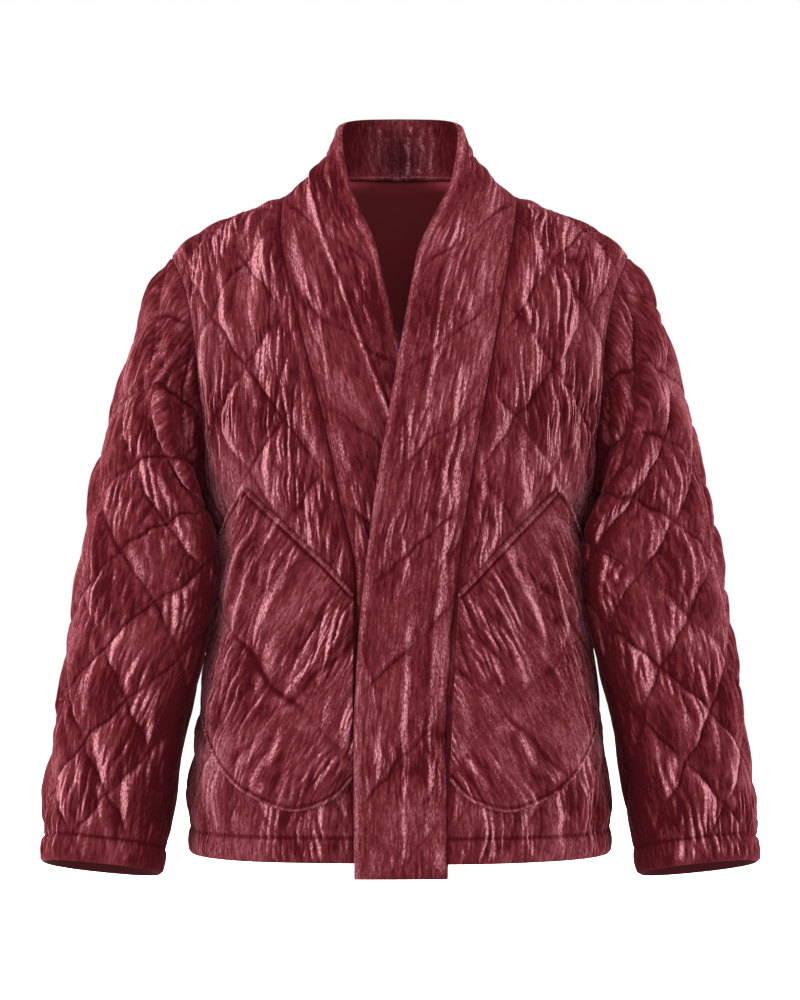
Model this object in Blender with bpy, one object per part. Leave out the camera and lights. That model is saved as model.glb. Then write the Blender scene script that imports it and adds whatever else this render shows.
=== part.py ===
"""Quilted velvet wrap jacket in its worn shape, hollow, with nobody in it.

Metres, +Z up. The front looks along -Y, and left and right are the wearer's.
The origin is midway between the shoulders, level with the tops of the shoulder seams at the neck.
Each piece is a wall: a plain inside surface, and an outside raised by the quilting.
Left-hand pieces are worked out at +X, and right-hand pieces are their mirror images.
"""
import math
from collections import namedtuple

import bpy
import numpy as np
from mathutils import Vector
from mathutils.geometry import delaunay_2d_cdt

# Cloth
SEAM_GAP = 0.0003
QUILTED_WALL = 0.0025
PUFF = 0.0048
BAND_WALL = 0.0030
BAND_PUFF = 0.0022
POCKET_WALL = 0.0020
POCKET_PUFF = 0.0040
POCKET_CLEARANCE = 0.0012
POCKET_MARGIN = 0.015
LINING_WALL = 0.0010
LINING_CLEARANCE = 0.0020
DIAMOND_WIDTH = 0.070
DIAMOND_HEIGHT = 0.095
STEPS_PER_DIAMOND = 3
LATTICE_MARGIN = 0.007
SEAM_SOFTENING = 0.018
HEM_ROLL = 0.4

# Body
FRONT, BACK = -1, 1
HEM_Z = -0.610
HEM_DEPTH = 0.023
UNDERARM_Z = -0.288
NECK_X, NECK_Z = 0.107, -0.006
SHOULDER_X, SHOULDER_Z = 0.210, -0.0598
SHOULDER_SLOPE = 0.385
SHOULDER_DROP_X, SHOULDER_DROP = 0.165, 7.0
SHOULDER_ROUND, SHOULDER_POWER = 0.100, 2.2
SHOULDER_CLOTH = 0.095
BACK_NECK_Z = 0.0165
RING_FULLNESS = 0.25

Ring = namedtuple("Ring", "z half_width front_depth back_depth")
TORSO = (
    Ring(-0.640, 0.194, 0.120, 0.111),
    Ring(-0.610, 0.1935, 0.119, 0.110),
    Ring(-0.563, 0.192, 0.118, 0.109),
    Ring(-0.525, 0.187, 0.117, 0.107),
    Ring(-0.451, 0.1775, 0.113, 0.102),
    Ring(-0.405, 0.171, 0.110, 0.099),
    Ring(-0.345, 0.168, 0.110, 0.100),
    Ring(-0.312, 0.1705, 0.111, 0.103),
    Ring(-0.288, 0.178, 0.112, 0.104),
    Ring(-0.268, 0.184, 0.112, 0.105),
    Ring(-0.230, 0.193, 0.112, 0.107),
    Ring(-0.172, 0.205, 0.110, 0.108),
    Ring(-0.113, 0.213, 0.104, 0.106),
    Ring(-0.055, 0.216, 0.094, 0.099),
    Ring(0.000, 0.218, 0.082, 0.090),
    Ring(0.080, 0.219, 0.070, 0.080),
)

ArmholePoint = namedtuple("ArmholePoint", "z x")
ARMHOLE = (
    ArmholePoint(UNDERARM_Z, 0.1780),
    ArmholePoint(-0.270, 0.1770),
    ArmholePoint(-0.230, 0.1775),
    ArmholePoint(-0.180, 0.1825),
    ArmholePoint(-0.125, 0.1880),
    ArmholePoint(-0.088, 0.1965),
    ArmholePoint(SHOULDER_Z, SHOULDER_X),
)
ARMHOLE_STEPS = 9
SIDE_STEPS = 13
SHOULDER_STEPS = 5
HEM_STEPS = 12
FRONT_QUILT_X, FRONT_QUILT_Z = 0.138, -0.163

# Collar and front band, one strip from the hem round to the centre back
BAND_WIDTH = 0.083
BAND_DROP = 0.013
BAND_STEPS = 25
NECK_STEPS = 6
BAND_CELLS = 4
BAND_BULGE = 0.005
WRAP_LIFT = 0.0045
WRAP_NEAR_X, WRAP_FAR_X = 0.060, 0.150
WRAP_LOW_Z, WRAP_HIGH_Z = -0.130, -0.030

BandSeam = namedtuple("BandSeam", "z left_x right_x")
BAND_SEAM = (
    BandSeam(-0.640, 0.042, 0.040),
    BandSeam(-0.500, 0.0415, 0.0390),
    BandSeam(-0.420, 0.0450, 0.0380),
    BandSeam(-0.350, 0.0520, 0.0400),
    BandSeam(-0.285, 0.0605, 0.0535),
    BandSeam(-0.210, 0.0730, 0.0690),
    BandSeam(-0.130, 0.0870, 0.0895),
    BandSeam(-0.085, 0.0950, 0.1000),
    BandSeam(-0.040, 0.1030, 0.1085),
    BandSeam(NECK_Z, NECK_X, NECK_X),
)

CollarEdge = namedtuple("CollarEdge", "share x y z")
COLLAR_EDGE = (
    CollarEdge(0.00, 0.0480, -0.0440, 0.014),
    CollarEdge(0.25, 0.0545, -0.0080, 0.052),
    CollarEdge(0.50, 0.0530, 0.0220, 0.069),
    CollarEdge(0.75, 0.0310, 0.0420, 0.0745),
    CollarEdge(1.00, 0.0000, 0.0480, 0.0755),
)
COLLAR_START_Z = -0.100
COLLAR_LEAN = (0.15, 0.42, 1.0)

# Sleeves: each ring runs between a point on the outer line and a point under the arm
SleeveRing = namedtuple("SleeveRing", "outer_x outer_z inner_x inner_z middle_y half_depth pitch hug")
SLEEVE = (
    SleeveRing(SHOULDER_X, SHOULDER_Z, 0.1780, UNDERARM_Z, 0.000, 0.060, 0.00, 0.00),
    SleeveRing(0.2262, -0.0875, 0.1840, -0.2860, 0.000, 0.066, 0.00, 0.00),
    SleeveRing(0.2367, -0.1160, 0.1885, -0.2865, -0.001, 0.070, 0.00, 0.05),
    SleeveRing(0.2480, -0.1530, 0.1915, -0.2915, -0.003, 0.073, 0.00, 0.15),
    SleeveRing(0.2590, -0.1910, 0.1915, -0.3010, -0.005, 0.074, 0.00, 0.35),
    SleeveRing(0.2765, -0.2650, 0.1900, -0.3250, -0.008, 0.073, 0.00, 0.55),
    SleeveRing(0.2910, -0.3390, 0.1880, -0.3660, -0.010, 0.069, 0.00, 0.60),
    SleeveRing(0.3020, -0.4140, 0.1900, -0.4320, -0.012, 0.064, 0.00, 0.35),
    SleeveRing(0.3130, -0.4880, 0.2020, -0.5050, -0.016, 0.058, 0.04, 0.10),
    SleeveRing(0.3225, -0.5630, 0.2135, -0.5770, -0.021, 0.053, 0.12, 0.00),
    SleeveRing(0.3285, -0.6180, 0.2225, -0.6285, -0.024, 0.050, 0.20, 0.00),
)
SLEEVE_DIAMONDS = 6
SLEEVE_ROWS = 36
CUFF_DEPTH = 0.024
SLEEVE_FULLNESS = 0.15
CAP_REACH = 0.16
CALM_UNDERARM, CALM_FROM, CALM_TO = 0.35, 0.2, 0.9
UNDERARM_THINNING, UNDERARM_NEAR, UNDERARM_FAR = 0.0012, 0.020, 0.050
CAP_ROWS = 2.5
FOLD_START = 0.030
ARM_RADIUS = 0.065

SleeveFold = namedtuple("SleeveFold", "turn along length width slant depth")
SLEEVE_FOLDS = (
    SleeveFold(62, 0.085, 0.070, 0.013, 38, 0.0055),
    SleeveFold(95, 0.120, 0.060, 0.012, 44, 0.0050),
    SleeveFold(118, 0.185, 0.055, 0.012, 50, 0.0045),
    SleeveFold(85, 0.255, 0.050, 0.014, -30, 0.0030),
    SleeveFold(255, 0.110, 0.065, 0.014, -40, 0.0050),
    SleeveFold(285, 0.190, 0.060, 0.013, -45, 0.0040),
    SleeveFold(240, 0.330, 0.055, 0.015, 25, 0.0030),
)

# Patch pockets, placed by the share of the way from the band seam to the side seam
PocketPoint = namedtuple("PocketPoint", "share z")
POCKET_MOUTH = (PocketPoint(0.012, -0.366), PocketPoint(0.46, -0.271))
POCKET_ROUND = (
    PocketPoint(0.012, -0.535),
    PocketPoint(0.09, -0.552),
    PocketPoint(0.26, -0.564),
    PocketPoint(0.48, -0.549),
    PocketPoint(0.73, -0.507),
    PocketPoint(0.91, -0.462),
    PocketPoint(0.98, -0.405),
    PocketPoint(0.91, -0.348),
    PocketPoint(0.69, -0.305),
    PocketPoint(0.46, -0.271),
)
POCKET_COLUMNS, POCKET_ROWS = 17, 11
POCKET_GRAIN = math.radians(-24)

LINING_INSET = 0.024
LINING_BOTTOM_Z = -0.575
LINING_SPACING = 0.036

VELVET = (0.130, 0.016, 0.026, 1.0)
LINING_COLOUR = (0.070, 0.010, 0.018, 1.0)

Piece = namedtuple("Piece", "name points triangles lift wall colour")


def column(rows, name):
    """One named column of a table, as an array."""
    return np.array([getattr(row, name) for row in rows], dtype=float)


def curve(xs, ys, at):
    """Smooth curve through the points (xs, ys) that never overshoots them, read at the values at."""
    step = np.diff(xs)
    slope = np.diff(ys) / step
    product = slope[1:] * slope[:-1]
    total = np.where(product > 0, slope[1:] + slope[:-1], 1.0)
    tangent = np.concatenate(([slope[0]], np.where(product > 0, 2 * product / total, 0.0), [slope[-1]]))
    at = np.clip(at, xs[0], xs[-1])
    i = np.clip(np.searchsorted(xs, at, side="right") - 1, 0, len(xs) - 2)
    t = (at - xs[i]) / step[i]
    start = (1 + 2 * t) * (1 - t) ** 2 * ys[i] + t * (1 - t) ** 2 * step[i] * tangent[i]
    return start + t * t * (3 - 2 * t) * ys[i + 1] + t * t * (t - 1) * step[i] * tangent[i + 1]


def ease(low, high, value):
    """0 at low, 1 at high, with a smooth rise between."""
    t = np.clip((value - low) / (high - low), 0, 1)
    return t * t * (3 - 2 * t)


def unit(vectors):
    """The vectors at length one."""
    return vectors / np.maximum(np.linalg.norm(vectors, axis=-1, keepdims=True), 1e-12)


def even_points(points, steps):
    """Points at even spacing along a finely sampled line."""
    run = np.concatenate(([0], np.cumsum(np.linalg.norm(np.diff(points, axis=0), axis=1))))
    wanted = np.linspace(0, run[-1], steps + 1)
    return np.stack([np.interp(wanted, run, points[:, axis]) for axis in range(points.shape[1])], axis=1)


def ring_sizes(face, z):
    """Half width and depth of the body's ring at height z."""
    heights = column(TORSO, "z")
    depth = column(TORSO, "front_depth" if face == FRONT else "back_depth")
    return curve(heights, column(TORSO, "half_width"), z), curve(heights, depth, z)


def shoulder_z(x):
    """Height of the shoulder seam's line at a distance x from the middle."""
    x = np.abs(x)
    return NECK_Z - SHOULDER_SLOPE * (x - NECK_X) - SHOULDER_DROP * np.maximum(x - SHOULDER_DROP_X, 0) ** 2


def wrap_lift(x, z):
    """How far the fronts part where they cross: one moves out by this, and the other moves in."""
    near = 1 - ease(WRAP_NEAR_X, WRAP_FAR_X, np.abs(x))
    return WRAP_LIFT * near * (1 - ease(WRAP_LOW_Z, WRAP_HIGH_Z, z))


def body_point(face, x, z, wrap=0):
    """Inside surface of the body: a full ellipse ring, drawn in to the shoulder seam's line at its top."""
    half_width, depth = ring_sizes(face, z)
    across = np.clip(x / half_width, -1, 1)
    fullness = np.sqrt(1 - across ** 2) * (1 + RING_FULLNESS * across ** 2)
    drop = np.clip((shoulder_z(x) - z) / SHOULDER_ROUND, 0, 1)
    rounding = (1 - (1 - drop) ** SHOULDER_POWER) ** (1 / SHOULDER_POWER)
    return np.stack([x, face * depth * fullness * rounding - wrap * wrap_lift(x, z), z], axis=-1)


def girth(face, angle, z):
    """Length of cloth from the centre line to an angle round the body's ring at height z."""
    samples = 33
    half_width, depth = (np.expand_dims(size, -1) for size in ring_sizes(face, z))
    a = np.expand_dims(angle, -1) * np.linspace(0, 1, samples)
    along_x = half_width * np.cos(a)
    along_y = depth * np.sin(a) * (2 * RING_FULLNESS * np.cos(a) ** 2 - 1 - RING_FULLNESS * np.sin(a) ** 2)
    speed = np.hypot(along_x, along_y)
    return angle * np.mean((speed[..., 1:] + speed[..., :-1]) / 2, axis=-1)


def side_angle(face, x, z):
    """Angle round the body's ring at which a point lies."""
    half_width, _ = ring_sizes(face, z)
    return np.arcsin(np.clip(x / half_width, -1, 1))


def cloth_from_point(face, x, z):
    """Cloth coordinates of a point on the body: girth from the centre line, and height along the cloth.

    Below the shoulder's rounding the height is z. Over the rounding it goes on along the quarter turn.
    """
    low = shoulder_z(x) - SHOULDER_ROUND
    turn = np.arcsin(np.clip((z - low) / SHOULDER_ROUND, 0, 1))
    height = np.minimum(z, low) + SHOULDER_CLOTH * turn
    return np.stack([girth(face, side_angle(face, x, z), z), height], axis=-1)


def point_from_cloth(face, cloth):
    """Inverse of cloth_from_point: x and z, by Newton's steps on the angle round the ring."""
    s, v = cloth[..., 0], cloth[..., 1]
    z = v
    angle = np.clip(s / ring_sizes(face, z)[0], -1.5, 1.5)
    small = 1e-4
    tries = 12
    for _ in range(tries):
        rate = (girth(face, angle + small, z) - girth(face, angle - small, z)) / (2 * small)
        angle = np.clip(angle - (girth(face, angle, z) - s) / rate, -math.pi / 2, math.pi / 2)
        low = shoulder_z(ring_sizes(face, z)[0] * np.sin(angle)) - SHOULDER_ROUND
        turn = np.clip((v - low) / SHOULDER_CLOTH, 0, math.pi / 2)
        z = np.minimum(v, low) + SHOULDER_ROUND * np.sin(turn)
    return ring_sizes(face, z)[0] * np.sin(angle), z


def body_from_cloth(face, cloth, wrap=0):
    """Point of the body's inside surface at cloth coordinates."""
    return body_point(face, *point_from_cloth(face, cloth), wrap)


def body_normal(face, cloth, wrap):
    """Outward direction of the body's surface at cloth coordinates."""
    small = 0.0005
    across, up = np.array([small, 0]), np.array([0, small])
    along_s = body_from_cloth(face, cloth + across, wrap) - body_from_cloth(face, cloth - across, wrap)
    along_v = body_from_cloth(face, cloth + up, wrap) - body_from_cloth(face, cloth - up, wrap)
    return unit(np.cross(along_s, along_v)) * -face


def armhole_line(face, steps=ARMHOLE_STEPS):
    """Points of the armhole from the underarm up to the shoulder tip."""
    heights = column(ARMHOLE, "z")
    z = np.linspace(heights[0], heights[-1], 400)
    line = body_point(face, curve(heights, column(ARMHOLE, "x"), z), z)
    line[0, 1] = line[-1, 1] = 0
    return even_points(line, steps)


def side_line():
    """Points of the side seam from the hem up to the underarm."""
    z = np.linspace(HEM_Z + HEM_DEPTH, UNDERARM_Z, SIDE_STEPS + 1)
    z = np.concatenate(([HEM_Z, HEM_Z + HEM_DEPTH / 2], z))
    half_width, _ = ring_sizes(FRONT, z)
    return np.stack([half_width, 0 * z, z], axis=1)


def shoulder_line():
    """Points of the shoulder seam from the tip in to the neck."""
    x = np.linspace(SHOULDER_X, NECK_X, SHOULDER_STEPS + 1)
    return np.stack([x, 0 * x, shoulder_z(x)], axis=1)


def band_seam_x(z, wrap):
    """Distance from the middle to the seam between band and front."""
    return curve(column(BAND_SEAM, "z"), column(BAND_SEAM, "left_x" if wrap > 0 else "right_x"), z)


def band_seam_line(wrap):
    """Points of the seam between band and front, from the hem up to the shoulder seam."""
    z = np.linspace(HEM_Z + HEM_DEPTH, NECK_Z, BAND_STEPS + 1)
    z = np.concatenate(([HEM_Z, HEM_Z + HEM_DEPTH / 2], z))
    line = body_point(FRONT, band_seam_x(z, wrap), z, wrap)
    line[-1] = (NECK_X, 0, NECK_Z)
    return line


def neck_line():
    """Points of the back neck seam from the shoulder seam to the centre back."""
    turn = np.linspace(0, math.pi / 2, 200)
    x = NECK_X * np.cos(turn)
    z = NECK_Z + (BACK_NECK_Z - NECK_Z) * np.sin(turn)
    line = body_point(BACK, x, z)
    line[0] = (NECK_X, 0, NECK_Z)
    return even_points(line, NECK_STEPS)


def distance_to_outline(points, outline):
    """Distance from each point to a closed outline, and whether the point is inside it."""
    start = outline
    end = np.roll(outline, -1, axis=0)
    edge = end - start
    offset = points[:, None, :] - start[None]
    share = np.clip(np.sum(offset * edge, axis=2) / np.sum(edge * edge, axis=1), 0, 1)
    distance = np.linalg.norm(offset - share[..., None] * edge, axis=2).min(axis=1)
    above = points[:, None, 1] < np.stack([start[:, 1], end[:, 1]])[:, None, :]
    crosses = above[0] != above[1]
    rise = np.where(edge[:, 1] == 0, 1.0, edge[:, 1])
    cut = start[:, 0] + (points[:, None, 1] - start[:, 1]) * edge[:, 0] / rise
    inside = np.sum(crosses & (points[:, None, 0] < cut), axis=1) % 2 == 1
    return distance, inside


def pillow(u, w):
    """Height of the wadding over a diamond, from its two stitch-line coordinates: 0 on a line, 1 inside."""
    return np.sqrt(np.abs(np.sin(math.pi * u) * np.sin(math.pi * w)))


def quilt_coordinates(s, z, origin):
    """The two stitch-line coordinates: whole numbers lie on a line."""
    across = (s - origin[0]) / DIAMOND_WIDTH
    up = (z - origin[1]) / DIAMOND_HEIGHT
    return across + up, across - up


def quilt_mesh(outline, origin, quilted_above):
    """Points and stitch lines of the quilting inside an outline, in even steps along both directions."""
    reach = 40
    count = np.arange(-reach, reach + 1)
    u, w = (grid / STEPS_PER_DIAMOND for grid in np.meshgrid(count, count, indexing="ij"))
    points = np.stack([origin[0] + (u + w) / 2 * DIAMOND_WIDTH, origin[1] + (u - w) / 2 * DIAMOND_HEIGHT], -1)
    distance, inside = distance_to_outline(points.reshape(-1, 2), outline)
    clear_of_seams = (inside & (distance > LATTICE_MARGIN)).reshape(u.shape)
    keep = clear_of_seams & (points[..., 1] > quilted_above + LATTICE_MARGIN)
    number = np.full(u.shape, -1)
    number[keep] = np.arange(keep.sum())
    on_line = np.arange(len(count)) % STEPS_PER_DIAMOND == reach % STEPS_PER_DIAMOND
    along_w = np.stack([number[on_line, :-1].ravel(), number[on_line, 1:].ravel()], axis=1)
    along_u = np.stack([number[:-1, on_line].ravel(), number[1:, on_line].ravel()], axis=1)
    edges = np.concatenate([along_w, along_u])
    return points[keep], edges[(edges >= 0).all(axis=1)]


def triangulate(outline, inner, edges):
    """Triangles that fill an outline through inner points and keep the edges given between them."""
    points = np.concatenate([outline, inner])
    vectors = [Vector(point) for point in points]
    _, _, faces, origins, _, _ = delaunay_2d_cdt(vectors, edges, [list(range(len(outline)))], 1, 1e-7)
    source = [group[0] for group in origins]
    triangles = np.array([[source[i] for i in face] for face in faces])
    a, b, c = (points[triangles[:, corner]] for corner in range(3))
    area = np.cross(b - a, c - a)
    triangles[area < 0] = triangles[area < 0][:, ::-1]
    return triangles


def hem_rows(first, last, count, outline_first, outline_last, offset):
    """A row of points across a hem, and the edges that join it to two outline points."""
    row = first + (last - first) * np.linspace(0, 1, count + 1)[1:-1, None]
    chain = [outline_first, *range(offset, offset + len(row)), outline_last]
    return row, list(zip(chain[:-1], chain[1:]))


def quilted_panel(name, face, wrap, outline, origin, hem_ends, flat_area=None):
    """A quilted body panel between its seams.

    hem_ends pairs the outline points at the ends of the hem's middle row and of its stitch line.
    """
    flat = cloth_from_point(face, outline[:, 0], outline[:, 2])
    count = HEM_STEPS if face == FRONT else 2 * HEM_STEPS
    inner = []
    edges = []
    for first, last in hem_ends:
        offset = len(outline) + sum(len(row) for row in inner)
        row, row_edges = hem_rows(flat[first], flat[last], count, first, last, offset)
        inner.append(row)
        edges += row_edges
    lattice, lattice_edges = quilt_mesh(flat, origin, HEM_Z + HEM_DEPTH)
    offset = len(outline) + sum(len(row) for row in inner)
    edges += [(int(a) + offset, int(b) + offset) for a, b in lattice_edges]
    inner = np.concatenate(inner + [lattice])
    triangles = triangulate(flat, inner, edges)
    points = np.concatenate([outline, body_from_cloth(face, inner, wrap)])
    cloth = np.concatenate([flat, inner])
    lift = body_lift(cloth, flat, origin) - underarm_thinning(points)
    if flat_area is not None:
        away, covered = distance_to_outline(cloth, flat_area)
        lift = lift * np.where(covered, 0, ease(POCKET_MARGIN, POCKET_MARGIN + SEAM_SOFTENING, away))
    if face == BACK:
        triangles = triangles[:, ::-1]
    return Piece(name, points, triangles, lift, QUILTED_WALL, VELVET)


def body_lift(cloth, outline, origin):
    """Height of the quilting over a body panel: pillows between stitch lines, a small roll along the hem."""
    distance, _ = distance_to_outline(cloth, outline)
    height = cloth[:, 1] - HEM_Z
    quilted = pillow(*quilt_coordinates(*cloth.T, origin)) * ease(0, SEAM_SOFTENING, distance)
    quilted = PUFF * quilted * ease(HEM_DEPTH, HEM_DEPTH + SEAM_SOFTENING, height)
    roll = HEM_ROLL * PUFF * np.sin(math.pi * np.clip(height / HEM_DEPTH, 0, 1))
    on_seam = distance < SEAM_GAP
    return np.maximum(quilted, np.where(on_seam, 0, roll))


def underarm_thinning(points):
    """How far a wall is thinned close to the underarm, where body and sleeve turn back on each other."""
    below = np.linalg.norm(np.abs(points) - [SLEEVE[0].inner_x, 0, -UNDERARM_Z], axis=-1)
    return UNDERARM_THINNING * (1 - ease(UNDERARM_NEAR, UNDERARM_FAR, below))


def front_panel(name, wrap):
    """A front: hem, side seam, armhole, shoulder seam, and back down the band seam."""
    seam = band_seam_line(wrap)
    side = side_line()
    hem_ends = cloth_from_point(FRONT, np.array([seam[0, 0], side[0, 0]]), np.full(2, HEM_Z))
    hem = body_from_cloth(FRONT, np.linspace(*hem_ends, HEM_STEPS + 1)[1:-1], wrap)
    top = np.concatenate([armhole_line(FRONT)[1:], shoulder_line()[1:]])
    outline = np.concatenate([seam[:1], hem, side, top, seam[1:-1][::-1]])
    side_first = 1 + len(hem)
    hem_ends = [(len(outline) - 1, side_first + 1), (len(outline) - 2, side_first + 2)]
    pocket_edge = np.concatenate([pocket_cloth(POCKET_MOUTH, np.linspace(0, 1, 6), wrap),
                                  pocket_cloth(POCKET_ROUND, np.linspace(1, 0, 30)[1:], wrap)])
    return quilted_panel(name, FRONT, wrap, outline, front_quilt_origin(), hem_ends, pocket_edge)


def front_quilt_origin():
    """A crossing of the fronts' stitch lines, in cloth coordinates."""
    return cloth_from_point(FRONT, np.array(FRONT_QUILT_X), np.array(FRONT_QUILT_Z))


def back_panel(name):
    """The back, in one piece from side seam to side seam, with the neck cut out of its top."""
    flip = np.array([-1, 1, 1])
    side = side_line()
    armhole = armhole_line(BACK)
    shoulder = shoulder_line()
    neck = neck_line()
    right_half = np.concatenate([side, armhole[1:], shoulder[1:], neck[1:]])
    hem_ends = cloth_from_point(BACK, np.array([-side[0, 0], side[0, 0]]), np.full(2, HEM_Z))
    hem = body_from_cloth(BACK, np.linspace(*hem_ends, 2 * HEM_STEPS + 1)[1:-1])
    outline = np.concatenate([hem, right_half, (right_half * flip)[:-1][::-1]])
    first = len(hem)
    last = len(outline) - 1
    return quilted_panel(name, BACK, 0, outline, (0.0, FRONT_QUILT_Z),
                         [(last - 1, first + 1), (last - 2, first + 2)])


def pocket_cloth(edge, share, wrap):
    """Points along one edge of a pocket, in cloth coordinates of the front."""
    knots = np.linspace(0, 1, len(edge))
    across = curve(knots, column(edge, "share"), share)
    z = curve(knots, column(edge, "z"), share)
    inner = girth(FRONT, side_angle(FRONT, band_seam_x(z, wrap), z), z)
    outer = girth(FRONT, np.full(len(z), math.pi / 2), z)
    return np.stack([inner + across * (outer - inner), z], axis=1)


def pocket(name, wrap):
    """A patch pocket: lines fanned from its mouth to its round edge, laid on the front's outside."""
    across = np.linspace(0, 1, POCKET_COLUMNS + 1)
    down = np.linspace(0, 1, POCKET_ROWS + 1)[:, None, None]
    mouth = pocket_cloth(POCKET_MOUTH, across, wrap)
    cloth = mouth + (pocket_cloth(POCKET_ROUND, across, wrap) - mouth) * down
    tip = POCKET_COLUMNS
    number = np.arange(cloth.shape[0] * cloth.shape[1])
    number[tip::POCKET_COLUMNS + 1] = tip
    triangles = number[grid_triangles(POCKET_ROWS, POCKET_COLUMNS)]
    triangles = triangles[[len(set(corners)) == 3 for corners in triangles.tolist()]]
    used, triangles = np.unique(triangles, return_inverse=True)
    triangles = triangles.reshape(-1, 3)
    cloth = cloth.reshape(-1, 2)[used]
    rise = QUILTED_WALL + POCKET_CLEARANCE
    points = body_from_cloth(FRONT, cloth, wrap) + body_normal(FRONT, cloth, wrap) * rise
    turn = np.array([[math.cos(POCKET_GRAIN), math.sin(POCKET_GRAIN)],
                     [-math.sin(POCKET_GRAIN), math.cos(POCKET_GRAIN)]])
    u, w = quilt_coordinates(*(turn @ (cloth - mouth[0]).T), (0.0, 0.0))
    outline = np.concatenate([mouth, pocket_cloth(POCKET_ROUND, across[::-1], wrap)[1:]])
    distance, _ = distance_to_outline(cloth, outline)
    lift = POCKET_PUFF * pillow(u, w) * ease(0, SEAM_SOFTENING, distance)
    return Piece(name, points, triangles, lift, POCKET_WALL, VELVET)


def grid_triangles(rows, columns):
    """Triangles of a grid of points numbered row by row."""
    corner = (np.arange(rows)[:, None] * (columns + 1) + np.arange(columns)).ravel()
    right, below = corner + 1, corner + columns + 1
    return np.concatenate([np.stack([corner, below, right], 1), np.stack([right, below, below + 1], 1)])


def band(name, wrap):
    """Half of the collar and front band: rows across the strip, from below the hem to the centre back."""
    front = band_seam_line(wrap)
    tail_z = np.array([HEM_Z - BAND_DROP])
    tail = body_point(FRONT, band_seam_x(tail_z, wrap), tail_z, wrap)
    neck = neck_line()
    seam = np.concatenate([tail, front, neck[1:]])
    along = unit(np.gradient(seam[:len(front) + 1, [0, 2]], axis=0))
    edge_flat = seam[:len(front) + 1, [0, 2]] + BAND_WIDTH * np.stack([-along[:, 1], along[:, 0]], axis=1)
    edge_front = body_point(FRONT, edge_flat[:, 0], edge_flat[:, 1], wrap)
    neck_share = np.linspace(0, 1, NECK_STEPS + 1)
    edge_neck = np.stack([curve(column(COLLAR_EDGE, "share"), column(COLLAR_EDGE, axis), neck_share)
                          for axis in "xyz"], axis=1)
    to_collar = ease(COLLAR_START_Z, NECK_Z, seam[:len(front) + 1, 2])[:, None]
    above = np.clip((seam[:len(front) + 1, 2:] - NECK_Z), COLLAR_START_Z, 0)
    leading = edge_neck[0] + above * np.array(COLLAR_LEAN)
    edge = np.concatenate([edge_front * (1 - to_collar) + leading * to_collar, edge_neck[1:]])

    across = np.linspace(0, 1, BAND_CELLS + 1)
    straight = seam[:, None] + (edge - seam)[:, None] * across[None, :, None]
    laid = body_point(FRONT, straight[..., 0], straight[..., 2], wrap)
    stands = np.concatenate([to_collar[:, 0], np.ones(NECK_STEPS)])[:, None, None]
    points = laid * (1 - stands) + straight * stands
    points[:, 0], points[:, -1] = seam, edge
    tangent = unit(np.gradient(points, axis=0))
    outward = unit(np.cross(tangent, (edge - seam)[:, None] + 0 * tangent))
    points = points + outward * (BAND_BULGE * 4 * across * (1 - across))[None, :, None] * stands
    points[-1, :, 0] = 0

    row, cell = np.meshgrid(np.arange(len(seam)), np.arange(BAND_CELLS + 1), indexing="ij")
    u, w = (row + cell) / BAND_CELLS, (row - cell) / BAND_CELLS
    lift = BAND_PUFF * pillow(u, w)
    lift[:, [0, -1]] = 0
    lift[[0, -1]] = 0
    lift[1:, 0] = QUILTED_WALL - BAND_WALL
    triangles = grid_triangles(len(seam) - 1, BAND_CELLS)
    return Piece(name, points.reshape(-1, 3), triangles, lift.ravel(), BAND_WALL, VELVET)


def sleeve_fold_height(turn, along):
    """Sum of the soft ridges in the sleeve: each runs a length at a slant across the turn and fades out."""
    height = np.zeros(np.broadcast(turn, along).shape)
    for fold in SLEEVE_FOLDS:
        sideways = ARM_RADIUS * (np.mod(turn - math.radians(fold.turn) + math.pi, 2 * math.pi) - math.pi)
        lengthways = along - fold.along
        slant = math.radians(fold.slant)
        run = sideways * math.cos(slant) + lengthways * math.sin(slant)
        off = -sideways * math.sin(slant) + lengthways * math.cos(slant)
        height = height + fold.depth * np.exp(-(run / fold.length) ** 2 - (off / fold.width) ** 2)
    return height


def armhole_ring(turn):
    """Point of the armhole at a turn round it: 0 at the shoulder tip, half a turn at the underarm."""
    front = armhole_line(FRONT, 2 * ARMHOLE_STEPS)[::-1]
    back = armhole_line(BACK, 2 * ARMHOLE_STEPS)
    loop = np.concatenate([front, back[1:]])
    place = np.mod(turn, 2 * math.pi) / (2 * math.pi) * (len(loop) - 1)
    return np.stack([np.interp(place, np.arange(len(loop)), loop[:, axis]) for axis in range(3)], axis=-1)


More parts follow.
